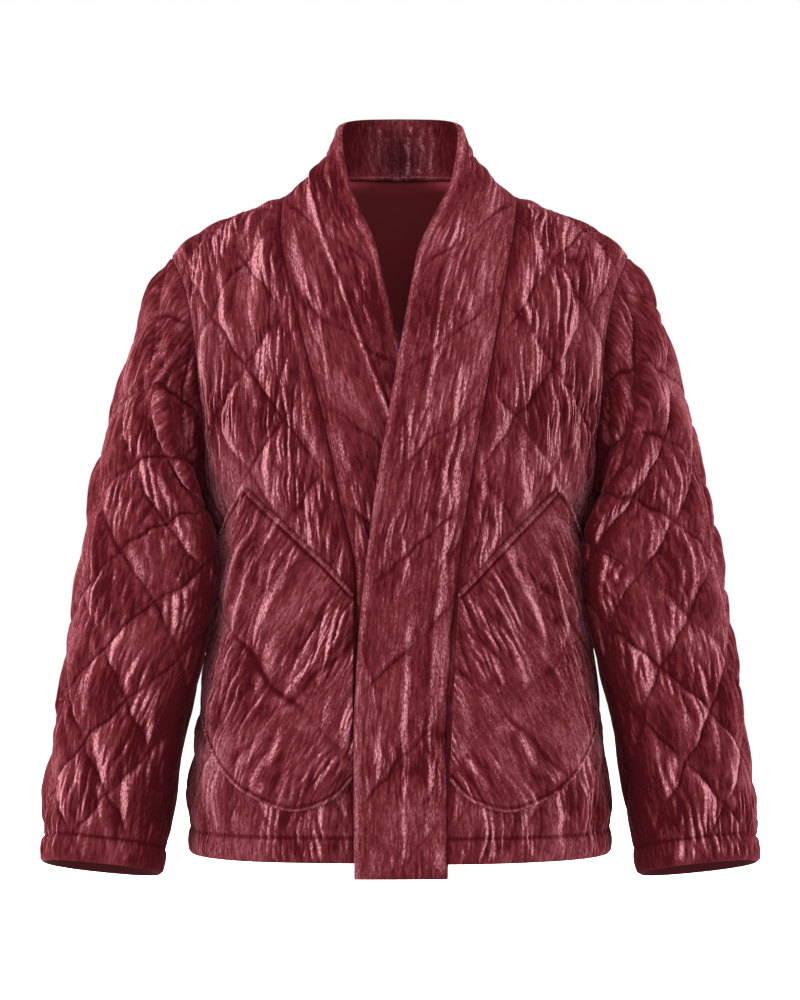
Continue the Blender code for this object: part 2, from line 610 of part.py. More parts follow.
def sleeve(name, quilt_shift):
    """A sleeve: rings from the armhole to the cuff, each set half a step round from the one before."""
    outer = np.stack([column(SLEEVE, "outer_x"), column(SLEEVE, "outer_z")], axis=1)
    knots = np.concatenate(([0], np.cumsum(np.linalg.norm(np.diff(outer, axis=0), axis=1))))
    quilted = np.linspace(0, knots[-1] - CUFF_DEPTH, SLEEVE_ROWS + 1)
    along = np.concatenate([quilted, [knots[-1] - CUFF_DEPTH / 2, knots[-1]]])[:, None]
    ring = SleeveRing(*(curve(knots, column(SLEEVE, name), along) for name in SleeveRing._fields))
    around = SLEEVE_DIAMONDS * STEPS_PER_DIAMOND
    row = np.arange(len(along))[:, None]
    turn = 2 * math.pi / around * (np.arange(around)[None] + (row % 2) / 2)

    def oval(sizes):
        out = np.cos(turn)
        forward = np.sin(turn) * (1 + SLEEVE_FULLNESS * out ** 2) * sizes.half_depth
        x = (sizes.outer_x + sizes.inner_x) / 2 + out * (sizes.outer_x - sizes.inner_x) / 2
        z = (sizes.outer_z + sizes.inner_z) / 2 + out * (sizes.outer_z - sizes.inner_z) / 2
        x = x - sizes.hug * forward * (1 - out) / 2
        return np.stack([x, sizes.middle_y - forward, z + forward * sizes.pitch], axis=-1)

    points = oval(ring)
    first = SleeveRing(*(curve(knots, column(SLEEVE, name), 0 * along) for name in SleeveRing._fields))
    fade = (1 - ease(0, CAP_REACH, along))[..., None]
    points = points + (armhole_ring(turn) - oval(first)) * fade
    centre = points.mean(axis=1, keepdims=True)
    outward = unit(points - centre)
    calm = 1 - (1 - CALM_UNDERARM) * ease(CALM_FROM, CALM_TO, -np.cos(turn))
    folded = sleeve_fold_height(turn, along) * calm * ease(0, FOLD_START, along)
    points = points + outward * folded[..., None]

    across = turn / (2 * math.pi) * SLEEVE_DIAMONDS
    down = (row + quilt_shift) / (2 * STEPS_PER_DIAMOND)
    lift = PUFF * pillow(across + down, across - down) * calm * ease(0, CAP_ROWS, row) * (row < SLEEVE_ROWS)
    lift[-2] = HEM_ROLL * PUFF
    lift = lift - underarm_thinning(points)

    step = np.arange(around)
    triangles = []
    for r in range(len(along) - 1):
        here, below = r * around, (r + 1) * around
        odd = r % 2
        ahead = (step + 1) % around
        if odd:
            triangles += [np.stack([here + step, below + ahead, here + ahead], 1),
                          np.stack([here + step, below + step, below + ahead], 1)]
        else:
            triangles += [np.stack([here + step, below + step, here + ahead], 1),
                          np.stack([here + ahead, below + step, below + ahead], 1)]
    triangles = np.concatenate(triangles)[:, ::-1]
    return Piece(name, points.reshape(-1, 3), triangles, lift.ravel(), QUILTED_WALL, VELVET)


def back_lining(name):
    """The plain lining of the back, just inside it and short of its seams and hem."""
    side = side_line()
    half = np.concatenate([side[side[:, 2] > LINING_BOTTOM_Z], armhole_line(BACK)[1:], shoulder_line()[1:],
                           neck_line()[1:]])
    half = cloth_from_point(BACK, half[:, 0], half[:, 2])
    half = half + LINING_INSET * np.stack([-np.gradient(half[:, 1]), np.gradient(half[:, 0])], axis=1) / \
        np.maximum(np.hypot(np.gradient(half[:, 1]), np.gradient(half[:, 0])), 1e-9)[:, None]
    half[-1, 0] = 0
    width = half[0, 0]
    bottom_s = np.arange(-width + LINING_SPACING, width - LINING_SPACING / 2, LINING_SPACING)
    bottom = np.stack([bottom_s, np.full(len(bottom_s), half[0, 1])], axis=1)
    flat = np.concatenate([bottom, half, (half * [-1, 1])[:-1][::-1]])
    reach = math.ceil(np.abs(half[:, 0]).max() / LINING_SPACING)
    s, v = np.meshgrid(np.arange(-reach, reach + 1) * LINING_SPACING,
                       np.arange(LINING_BOTTOM_Z, half[:, 1].max(), LINING_SPACING))
    inner = np.stack([s.ravel(), v.ravel()], axis=1)
    distance, inside = distance_to_outline(inner, flat)
    inner = inner[inside & (distance > LINING_SPACING / 3)]
    triangles = triangulate(flat, inner, [])[:, ::-1]
    cloth = np.concatenate([flat, inner])
    points = body_from_cloth(BACK, cloth) - body_normal(BACK, cloth, 0) * (LINING_CLEARANCE + LINING_WALL)
    return Piece(name, points, triangles, np.zeros(len(points)), LINING_WALL, LINING_COLOUR)


def mirrored(piece):
    """The same piece on the other side of the body."""
    return piece._replace(points=piece.points * [-1, 1, 1], triangles=piece.triangles[:, ::-1])


def rim_edges(triangles):
    """Edges that only one triangle uses, in that triangle's order, each with its third corner."""
    sides = np.concatenate([np.roll(triangles, -shift, axis=1) for shift in range(3)])
    key = np.sort(sides[:, :2], axis=1)
    _, where, uses = np.unique(key, axis=0, return_inverse=True, return_counts=True)
    return sides[uses[where.ravel()] == 1]


def point_normals(piece):
    """Mean direction of the triangles round each point."""
    a, b, c = (piece.points[piece.triangles[:, corner]] for corner in range(3))
    facing = np.cross(b - a, c - a)
    normals = np.zeros_like(piece.points)
    for corner in range(3):
        np.add.at(normals, piece.triangles[:, corner], facing)
    return unit(normals)


def seam_normals(pieces):
    """Normals of all pieces. Points that meet at a seam share one mean normal, so walls meet on a mitre."""
    normals = [point_normals(piece) for piece in pieces]
    shared = {}
    places = []
    for piece, directions in zip(pieces, normals):
        rim = np.unique(rim_edges(piece.triangles)[:, :2])
        for i in rim:
            place = tuple(np.round(piece.points[i] * 1e5).astype(int))
            shared[place] = shared.get(place, 0) + directions[i]
            places.append((directions, i, place))
    for directions, i, place in places:
        directions[i] = unit(shared[place])
    return normals


def seam_inset(piece):
    """Step that moves each rim point half the seam's gap into its own piece."""
    inward = np.zeros_like(piece.points)
    for a, b, c in rim_edges(piece.triangles):
        edge = unit(piece.points[b] - piece.points[a])
        reach = piece.points[c] - piece.points[a]
        into = unit(reach - edge * np.dot(reach, edge))
        inward[a] += into
        inward[b] += into
    length = np.maximum(np.sum(inward ** 2, axis=1, keepdims=True), 1.0)
    return inward * SEAM_GAP / length


def material(name, colour):
    """A cloth material, made once for each colour."""
    cloth = bpy.data.materials.get(name) or bpy.data.materials.new(name)
    cloth.use_nodes = True
    shader = cloth.node_tree.nodes["Principled BSDF"]
    shader.inputs["Base Color"].default_value = colour
    shader.inputs["Roughness"].default_value = 0.75
    shader.inputs["Metallic"].default_value = 0.0
    return cloth


def make_wall(piece, normals):
    """Closed mesh of a piece: raised outside, plain inside, and a rim between them.

    Both pieces at a seam split their rims along the same diagonals, so the rims stay apart.
    """
    inside = piece.points + seam_inset(piece)
    outside = inside + normals * (piece.wall + piece.lift)[:, None]
    count = len(inside)
    faces = piece.triangles.tolist() + (piece.triangles[:, ::-1] + count).tolist()
    for a, b, _ in rim_edges(piece.triangles).tolist():
        if tuple(piece.points[a].round(5)) < tuple(piece.points[b].round(5)):
            faces += [(b, a, b + count), (a, a + count, b + count)]
        else:
            faces += [(b, a, a + count), (b, a + count, b + count)]
    mesh = bpy.data.meshes.new(piece.name)
    mesh.from_pydata(np.concatenate([outside, inside]).tolist(), [], faces)
    mesh.validate()
    mesh.materials.append(material("lining" if piece.colour is LINING_COLOUR else "velvet", piece.colour))
    mesh.shade_smooth()
    mesh.set_sharp_from_angle(angle=math.radians(40))
    wall = bpy.data.objects.new(piece.name, mesh)
    bpy.context.collection.objects.link(wall)


def build():
    """All pieces of the jacket."""
    for old in list(bpy.data.objects):
        bpy.data.objects.remove(old)
    over, under = 1, -1
    pieces = [
        back_panel("back"),
        front_panel("front_left", over),
        mirrored(front_panel("front_right", under)),
        sleeve("sleeve_left", 2),
        mirrored(sleeve("sleeve_right", 0)),
        band("band_left", over),
        mirrored(band("band_right", under)),
        pocket("pocket_left", over),
        mirrored(pocket("pocket_right", under)),
        back_lining("back_lining"),
    ]
    for piece, normals in zip(pieces, seam_normals(pieces)):
        make_wall(piece, normals)


build()
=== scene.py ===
"""Quilted velvet wrap jacket in its worn shape, hollow, dressed in fine cloth over its plain solids.

Metres, +Z up. The front looks along -Y, and left and right are the wearer's.
Every piece is a closed shell: a fine outside raised by wadding and crinkles, and a plain inside.
"""
import math
from collections import namedtuple

import bpy
import numpy as np
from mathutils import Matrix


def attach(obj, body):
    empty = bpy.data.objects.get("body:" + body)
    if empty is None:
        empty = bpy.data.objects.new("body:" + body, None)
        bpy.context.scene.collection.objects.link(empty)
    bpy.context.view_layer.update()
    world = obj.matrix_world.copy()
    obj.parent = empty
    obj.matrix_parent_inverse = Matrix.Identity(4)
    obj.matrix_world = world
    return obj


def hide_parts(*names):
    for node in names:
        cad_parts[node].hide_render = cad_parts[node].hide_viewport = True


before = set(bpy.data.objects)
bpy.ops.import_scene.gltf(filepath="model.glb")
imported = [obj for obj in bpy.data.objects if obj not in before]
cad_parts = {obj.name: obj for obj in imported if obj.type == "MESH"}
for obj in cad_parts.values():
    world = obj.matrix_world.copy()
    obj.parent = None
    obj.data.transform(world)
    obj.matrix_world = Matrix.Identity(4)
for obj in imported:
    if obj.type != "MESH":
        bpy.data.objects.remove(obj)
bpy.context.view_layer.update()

# The back: one panel of crushed velvet quilted over wadding, from the shoulders to the hem.
# Crossing rows of machine stitching pull the wadding into diamonds, and the hem is turned up
# and stitched once. The sizes of the whole body stand here, because the back takes all of them.
FRONT, BACK = -1, 1
HEM_Z, HEM_DEPTH = -0.610, 0.023
UNDERARM_Z = -0.288
NECK_X, NECK_Z = 0.107, -0.006
SHOULDER_X, SHOULDER_Z = 0.210, -0.0598
SHOULDER_SLOPE = 0.385
SHOULDER_DROP_X, SHOULDER_DROP = 0.165, 7.0
SHOULDER_ROUND, SHOULDER_POWER = 0.100, 2.2
SHOULDER_CLOTH = 0.095
BACK_NECK_Z = 0.0165
RING_FULLNESS = 0.25
WRAP_LIFT = 0.0045
WRAP_NEAR_X, WRAP_FAR_X = 0.060, 0.150
WRAP_LOW_Z, WRAP_HIGH_Z = -0.130, -0.030
LINE_SAMPLES, ARMHOLE_SAMPLES, ARMHOLE_BUNCHING = 200, 600, 1.5

Ring = namedtuple("Ring", "z half_width front_depth back_depth")
TORSO = (
    Ring(-0.640, 0.194, 0.120, 0.111),
    Ring(-0.610, 0.1935, 0.119, 0.110),
    Ring(-0.563, 0.192, 0.118, 0.109),
    Ring(-0.525, 0.187, 0.117, 0.107),
    Ring(-0.451, 0.1775, 0.113, 0.102),
    Ring(-0.405, 0.171, 0.110, 0.099),
    Ring(-0.345, 0.168, 0.110, 0.100),
    Ring(-0.312, 0.1705, 0.111, 0.103),
    Ring(-0.288, 0.178, 0.112, 0.104),
    Ring(-0.268, 0.184, 0.112, 0.105),
    Ring(-0.230, 0.193, 0.112, 0.107),
    Ring(-0.172, 0.205, 0.110, 0.108),
    Ring(-0.113, 0.213, 0.104, 0.106),
    Ring(-0.055, 0.216, 0.094, 0.099),
    Ring(0.000, 0.218, 0.082, 0.090),
    Ring(0.080, 0.219, 0.070, 0.080),
)
ArmholePoint = namedtuple("ArmholePoint", "z x")
ARMHOLE = (
    ArmholePoint(UNDERARM_Z, 0.1780),
    ArmholePoint(-0.270, 0.1770),
    ArmholePoint(-0.230, 0.1775),
    ArmholePoint(-0.180, 0.1825),
    ArmholePoint(-0.125, 0.1880),
    ArmholePoint(-0.088, 0.1965),
    ArmholePoint(SHOULDER_Z, SHOULDER_X),
)

QUILTED_WALL, PUFF = 0.0025, 0.0046
SEAM_LIFT, SEAM_KEEP, LEAST_LIFT = 0.0010, 0.6, -0.0017
DIAMOND_WIDTH, DIAMOND_HEIGHT = 0.070, 0.095
FRONT_QUILT_X, FRONT_QUILT_Z = 0.138, -0.163
SEAM_SOFTENING, SHOULDER_CALM, EDGE_CALM = 0.018, 0.055, 0.010
EDGE_ROUND, EDGE_KEEP = 0.0032, 0.25
STITCH_WIDTH, STITCH_DEPTH, STITCH_SHADE = 0.0012, 0.0014, 0.50
HELD_LENGTH, LOOSEST_HOLD, LOOSE_BELOW, TIGHT_ABOVE = 0.055, 0.22, -0.45, 0.35
PILLOW_EDGE, BODY_FIRM, CRUSH_AT_STITCH = 0.008, 0.75, 0.3
LINE_WANDER, WANDERS, HOLD_APART, PUCKER_APART = 0.055, 2.5, 5.1, 7.3
PUCKER_LENGTH, PUCKER_REACH, PUCKER_HEIGHT, PUCKER_SHINE = 0.0065, 0.0090, 0.0013, 0.35
HEM_ROLL, HEM_STITCH, HEM_SHADE = 0.34, 1.2, 0.45
BAND_SHADE_WIDTH, BAND_SHADE = 0.004, 0.45

Crinkle = namedtuple("Crinkle", "width length height crease")
CRINKLES = (
    Crinkle(0.0320, 0.140, 0.0046, 0.00),
    Crinkle(0.0095, 0.066, 0.0040, 0.30),
    Crinkle(0.0046, 0.034, 0.0017, 0.20),
)
CREASE_WIDTH, CREASE_ROUND, MEAN_RIDGE = 0.11, 0.003, 0.30
WANDER_WIDTH, WANDER_LENGTH, RIDGE_WANDER = 3, 0.7, 0.55
SMOOTH_WIDTH, SMOOTH_LENGTH = 0.060, 0.085
LEAST_CRUSH, SMOOTH_BELOW, CRUSHED_ABOVE = 0.25, -0.40, 0.35
NOISE_CELLS, NOISE_GAIN, FLAT_CELLS = 256, 1.6, 252
# Painted sheen and shade of the pile: pale on flanks and sides that turn outward, dark on those that turn inward.
LEAN_FROM, LEAN_FULL, PALE_POWER = 0.08, 0.50, 1.15
SHADE_SHARE, SIDE_LEAN = 0.34, 0.60
SIDE_SHARE, SIDE_FROM, SIDE_FULL = 0.28, 0.40, 1.0
INNER_SHARE, INNER_FROM, INNER_FULL = 0.50, 0.10, 0.90
BACK_MIDDLE = 0.05


def column(rows, name):
    """One named column of a table, as an array."""
    return np.array([getattr(row, name) for row in rows], dtype=float)


def curve(xs, ys, at):
    """Smooth curve through the points (xs, ys) that never overshoots them, read at the values at."""
    step = np.diff(xs)
    slope = np.diff(ys) / step
    product = slope[1:] * slope[:-1]
    total = np.where(product > 0, slope[1:] + slope[:-1], 1.0)
    tangent = np.concatenate(([slope[0]], np.where(product > 0, 2 * product / total, 0.0), [slope[-1]]))
    at = np.clip(at, xs[0], xs[-1])
    i = np.clip(np.searchsorted(xs, at, side="right") - 1, 0, len(xs) - 2)
    t = (at - xs[i]) / step[i]
    start = (1 + 2 * t) * (1 - t) ** 2 * ys[i] + t * (1 - t) ** 2 * step[i] * tangent[i]
    return start + t * t * (3 - 2 * t) * ys[i + 1] + t * t * (t - 1) * step[i] * tangent[i + 1]


def ease(low, high, value):
    """0 at low, 1 at high, with a smooth rise between."""
    t = np.clip((value - low) / (high - low), 0, 1)
    return t * t * (3 - 2 * t)


def at_least(least, amount):
    """An amount from 0 to 1, drawn up to run from least to 1."""
    return least + (1 - least) * amount


def bell(distance, width):
    """Bell curve: 1 at no distance, and nearly 0 past twice the width."""
    return np.exp(-(distance / width) ** 2)


def run_along(points):
    """Length along a line of points, from the first to each of them."""
    return np.concatenate(([0], np.cumsum(np.linalg.norm(np.diff(points, axis=0), axis=1))))


def unit(vectors):
    """The vectors at length one."""
    return vectors / np.maximum(np.linalg.norm(vectors, axis=-1, keepdims=True), 1e-12)


def ring_sizes(face, z):
    """Half width and depth of the body's ring at height z."""
    heights = column(TORSO, "z")
    depth = column(TORSO, "front_depth" if face == FRONT else "back_depth")
    return curve(heights, column(TORSO, "half_width"), z), curve(heights, depth, z)


def shoulder_z(x):
    """Height of the shoulder seam's line at a distance x from the middle."""
    x = np.abs(x)
    return NECK_Z - SHOULDER_SLOPE * (x - NECK_X) - SHOULDER_DROP * np.maximum(x - SHOULDER_DROP_X, 0) ** 2


def wrap_lift(x, z):
    """How far the fronts part where they cross: one moves out by this, and the other moves in."""
    near = 1 - ease(WRAP_NEAR_X, WRAP_FAR_X, np.abs(x))
    return WRAP_LIFT * near * (1 - ease(WRAP_LOW_Z, WRAP_HIGH_Z, z))


def body_from_xz(face, x, z, wrap=0):
    """Inside surface of the body: a full ellipse ring, drawn in to the shoulder seam's line at its top."""
    half_width, depth = ring_sizes(face, z)
    across = np.clip(x / half_width, -1, 1)
    fullness = np.sqrt(1 - across ** 2) * (1 + RING_FULLNESS * across ** 2)
    drop = np.clip((shoulder_z(x) - z) / SHOULDER_ROUND, 0, 1)
    rounding = (1 - (1 - drop) ** SHOULDER_POWER) ** (1 / SHOULDER_POWER)
    return np.stack([x, face * depth * fullness * rounding - wrap * wrap_lift(x, z), z], axis=-1)


def xz_from_place(face, place):
    """x and z at a place: an angle round the body's ring, and a height along the cloth.

    Below the shoulder's rounding the height is z. Over the rounding it goes on along a quarter turn.
    """
    angle, height = place[..., 0], place[..., 1]
    z = height
    for _ in range(6):
        low = shoulder_z(ring_sizes(face, z)[0] * np.sin(angle)) - SHOULDER_ROUND
        turn = np.clip((height - low) / SHOULDER_CLOTH, 0, math.pi / 2)
        z = np.minimum(height, low) + SHOULDER_ROUND * np.sin(turn)
    return ring_sizes(face, z)[0] * np.sin(angle), z


def place_from_xz(face, x, z):
    """Inverse of xz_from_place."""
    low = shoulder_z(x) - SHOULDER_ROUND
    turn = np.arcsin(np.clip((z - low) / SHOULDER_ROUND, 0, 1))
    angle = np.arcsin(np.clip(x / ring_sizes(face, z)[0], -1, 1))
    return np.stack([angle, np.minimum(z, low) + SHOULDER_CLOTH * turn], axis=-1)


def girth(face, angle, z):
    """Length of cloth from the centre line to an angle round the body's ring at height z."""
    half_width, depth = (np.expand_dims(size, -1) for size in ring_sizes(face, z))
    a = np.expand_dims(angle, -1) * np.linspace(0, 1, 17)
    along_x = half_width * np.cos(a)
    along_y = depth * np.sin(a) * (2 * RING_FULLNESS * np.cos(a) ** 2 - 1 - RING_FULLNESS * np.sin(a) ** 2)
    speed = np.hypot(along_x, along_y)
    return angle * np.mean((speed[..., 1:] + speed[..., :-1]) / 2, axis=-1)


def cloth_from_place(face, place):
    """Cloth coordinates of a place: girth from the centre line, and height along the cloth."""
    _, z = xz_from_place(face, place)
    return np.stack([girth(face, place[..., 0], z), place[..., 1]], axis=-1)


def even_places(face, places, steps):
    """The same line of places, at even spacing along the body."""
    points = body_from_xz(face, *xz_from_place(face, places))
    run = run_along(points)
    wanted = np.linspace(0, run[-1], steps + 1)
    return np.stack([np.interp(wanted, run, places[:, axis]) for axis in range(2)], axis=1)


def armhole_places(face):
    """Places along the armhole from the underarm up to the shoulder tip."""
    heights = column(ARMHOLE, "z")
    z = UNDERARM_Z + (SHOULDER_Z - UNDERARM_Z) * np.linspace(0, 1, ARMHOLE_SAMPLES) ** ARMHOLE_BUNCHING
    places = place_from_xz(face, curve(heights, column(ARMHOLE, "x"), z), z)
    places[0, 0] = math.pi / 2
    return places


def side_places(face):
    """Places up the side seam and on round the armhole, from the hem to the shoulder tip."""
    z = np.linspace(HEM_Z, UNDERARM_Z, LINE_SAMPLES)[:-1]
    return np.concatenate([np.stack([np.full(len(z), math.pi / 2), z], axis=1), armhole_places(face)])


def shoulder_places(face):
    """Places along the shoulder seam from the neck out to the tip."""
    x = np.linspace(NECK_X, SHOULDER_X, LINE_SAMPLES)
    return place_from_xz(face, x, shoulder_z(x))


def neck_places():
    """Places along the back neck seam from the shoulder seam to the centre back."""
    turn = np.linspace(0, math.pi / 2, LINE_SAMPLES)
    return place_from_xz(BACK, NECK_X * np.cos(turn), NECK_Z + (BACK_NECK_Z - NECK_Z) * np.sin(turn))


def patch(bottom, top, left, right):
    """Grid of places between four edges: the ruled surfaces both ways, less the one through the corners."""
    q = np.linspace(0, 1, len(bottom))[None, :, None]
    t = np.linspace(0, 1, len(left))[:, None, None]
    ruled = left[:, None] * (1 - q) + right[:, None] * q + bottom[None] * (1 - t) + top[None] * t
    corners = (bottom[0] * (1 - q) + bottom[-1] * q) * (1 - t) + (top[0] * (1 - q) + top[-1] * q) * t
    return ruled - corners


def noise(x, y, seed, cells=NOISE_CELLS):
    """Smooth random waves from about -1 to 1: slopes drawn at whole-number places, and blended between.

    They repeat after the given number of cells in x.
    """
    turns = np.random.default_rng(seed).uniform(0, 2 * math.pi, (NOISE_CELLS, NOISE_CELLS))
    i, j = np.floor(x).astype(int), np.floor(y).astype(int)
    fx, fy = x - i, y - j

    def corner(right, up):
        turn = turns[(i + right) % cells, (j + up) % NOISE_CELLS]
        return np.cos(turn) * (fx - right) + np.sin(turn) * (fy - up)

    sx, sy = (f ** 3 * (f * (6 * f - 15) + 10) for f in (fx, fy))
    low = corner(0, 0) * (1 - sx) + corner(1, 0) * sx
    high = corner(0, 1) * (1 - sx) + corner(1, 1) * sx
    return NOISE_GAIN * (low * (1 - sy) + high * sy)


def crush(across, along, seed, around=None):
    """Height of crushed velvet, and painted shade in its creases: rounded ridges along the grain, in three sizes.

    A ridge is as high as the size of stretched noise, so a narrow crease with painted shade follows each line
    where the noise is zero. Patches of the cloth are left smoother. On a tube, around is its girth, and the ridges
    meet after a turn.
    """
    def waves(width, length, number, multiple=1, shift=0):
        cells = FLAT_CELLS if around is None else multiple * max(1, round(around / width / multiple))
        x = across / width if around is None else across / around * cells
        return noise(x + shift, along / length, seed + number, cells)

    smooth = waves(SMOOTH_WIDTH, SMOOTH_LENGTH, 9)
    crushed = at_least(LEAST_CRUSH, ease(SMOOTH_BELOW, CRUSHED_ABOVE, smooth))
    height = np.zeros(np.broadcast(across, along).shape)
    painted_crease_shade = np.zeros(height.shape)
    for number, crinkle in enumerate(CRINKLES):
        wander = waves(WANDER_WIDTH * crinkle.width, WANDER_LENGTH * crinkle.length, 20 + number)
        wave = waves(crinkle.width, crinkle.length, number, 3, RIDGE_WANDER * wander)
        strength = crushed if number else 1.0
        height = height + crinkle.height * (np.sqrt(wave ** 2 + CREASE_ROUND) - MEAN_RIDGE) * strength
        painted_crease_shade = painted_crease_shade + crinkle.crease * bell(wave, CREASE_WIDTH) * strength
    return height, painted_crease_shade


def stitch_lines(cloth, origin):
    """The two stitch-line coordinates of the diamonds: whole numbers lie on a line."""
    across = (cloth[..., 0] - origin[0]) / DIAMOND_WIDTH
    up = (cloth[..., 1] - origin[1]) / DIAMOND_HEIGHT
    return across + up, across - up


def quilting(u, w, puff, seed, faint=1.0, firm=1.0):
    """Height of the quilting, painted shade along its stitches and painted highlights on its puckers, swell of its
    pillows, and how far in a place lies.

    A pillow stands over each diamond, with a sunk stitch on each line, drawn tighter at some places, and puckers
    beside it. The lines wander a little. Those of the second direction can be fainter, and all of them looser.
    """
    wander_u, wander_w = (noise(u * WANDERS, w * WANDERS, seed + line) for line in (80, 81))
    u, w = u + LINE_WANDER * wander_u, w + LINE_WANDER * wander_w
    spacing = 1 / math.hypot(1 / DIAMOND_WIDTH, 1 / DIAMOND_HEIGHT)
    side = math.hypot(DIAMOND_WIDTH, DIAMOND_HEIGHT) / 2
    swell = puff * np.abs(np.sin(math.pi * u)) * at_least(1 - faint, np.abs(np.sin(math.pi * w)))
    height = np.sqrt(puff * swell)
    shade = np.zeros_like(height)
    within = np.ones_like(height)
    for line, (over, along, strength) in enumerate(((u, w, firm), (w, u, firm * faint))):
        away = np.abs(over - np.round(over)) * spacing
        held = noise(along * side / HELD_LENGTH, np.round(over) * HOLD_APART + 0.5, seed + 60 + line)
        hold = at_least(LOOSEST_HOLD, ease(LOOSE_BELOW, TIGHT_ABOVE, held))
        sunk = bell(away, STITCH_WIDTH) * strength * hold
        pucker = noise(along * side / PUCKER_LENGTH, np.round(over) * PUCKER_APART + 0.5, seed + 40 + line)
        near = bell(away, PUCKER_REACH) * ease(0, STITCH_WIDTH * 2, away) * strength
        height = height - STITCH_DEPTH * sunk + PUCKER_HEIGHT * pucker * near
        shade = shade + STITCH_SHADE * sunk - PUCKER_SHINE * np.maximum(pucker, 0) * near
        within = within * (1 - strength * (1 - ease(0, PILLOW_EDGE, away)))
    return height, shade, swell, within


def edge_distance(points, tube=False):
    """Distances along the cloth to the four edges of a grid: bottom, top, left and right."""
    up = np.cumsum(np.linalg.norm(np.diff(points, axis=0, prepend=points[:1]), axis=-1), axis=0)
    if tube:
        return up, up[-1:] - up
    over = np.cumsum(np.linalg.norm(np.diff(points, axis=1, prepend=points[:, :1]), axis=-1), axis=1)
    return up, up[-1:] - up, over, over[:, -1:] - over


def rounded_off(raised, distance, wall, keep=EDGE_KEEP):
    """Height of the outside, sunk towards an edge in a quarter round that leaves a share of the wall."""
    inward = 1 - np.clip(distance / EDGE_ROUND, 0, 1)
    round_off = np.sqrt(1 - inward ** 2)
    return wall * at_least(keep, round_off) + np.maximum(raised, LEAST_LIFT) * round_off


def painted_pile_sheen(base, level, raised, facing, tube=False, middle=None):
    """Painted sheen and shade of the pile: pale on flanks that look out from the middle, and dark on those that
    look in.

    The paleness is painted sheen and the darkness painted shade. The tilt of the raised cloth counts most, then
    the way that the piece itself faces: painted sheen on sides turned outward, painted shade on inner sides. Level
    cloth that faces forward is 0.
    """
    out = 1 if middle is None else np.clip(base[..., 0] / middle, -1, 1)
    tilted = outward(base + level * raised[..., None], facing, tube)
    tilt = tilted - level * (tilted * level).sum(axis=-1, keepdims=True)
    lean = (tilt[..., 0] + SIDE_LEAN * tilt[..., 1] * level[..., 0]) * out
    pale, dark = (np.clip((flank - LEAN_FROM) / (LEAN_FULL - LEAN_FROM), 0, 1) for flank in (lean, -lean))
    turned = level[..., 0] * out
    side = SIDE_SHARE * ease(SIDE_FROM, SIDE_FULL, turned) - INNER_SHARE * ease(INNER_FROM, INNER_FULL, -turned)
    return pale ** PALE_POWER - SHADE_SHARE * dark + side


def fold_height(places, folds):
    """Height of listed folds: soft ridges along straight lines, troughs where the height is negative.

    Each is a bell curve across its line, and tapers to nothing at both ends.
    """
    height = np.zeros(places.shape[:-1])
    for start, end, width, rise in folds:
        line = np.array(end) - np.array(start)
        share = (places - start) @ line / (line @ line)
        off = np.abs((places - start) @ np.array([-line[1], line[0]])) / np.linalg.norm(line)
        taper = np.clip(1 - (2 * share - 1) ** 4, 0, 1)
        height = height + rise * taper * bell(off, width)
    return height


def outward(points, facing, tube=False):
    """Normals of a grid of points, from its steps across and up."""
    across = np.roll(points, -1, axis=1) - np.roll(points, 1, axis=1) if tube else np.gradient(points, axis=1)
    return unit(np.cross(across, np.gradient(points, axis=0))) * facing


def grid_quads(index, tube):
    """Quads between neighbours of a grid of point numbers."""
    over = np.roll(index, -1, axis=1) if tube else index[:, 1:]
    here = index if tube else index[:, :-1]
    return np.stack([here[:-1], over[:-1], over[1:], here[1:]], axis=-1).reshape(-1, 4)


def border(index):
    """Point numbers once round the edge of a grid."""
    return np.concatenate([index[0, :-1], index[:-1, -1], index[-1, :0:-1], index[:0:-1, 0]])


def rim(outer, inner):
    """Triangles between a fine loop and a coarser one: fans, and one triangle on each coarse edge."""
    step = len(outer) // len(inner)
    k, j = np.arange(len(inner))[:, None], np.arange(step)[None]
    ahead = np.roll(inner, -1)
    pivot = np.where(j < step // 2, inner[:, None], ahead[:, None])
    fan = np.stack([outer[(k * step + j + 1) % len(outer)], outer[k * step + j], pivot], axis=-1)
    middle = np.stack([outer[k[:, 0] * step + step // 2], inner, ahead], axis=-1)
    return np.concatenate([fan.reshape(-1, 3), middle])


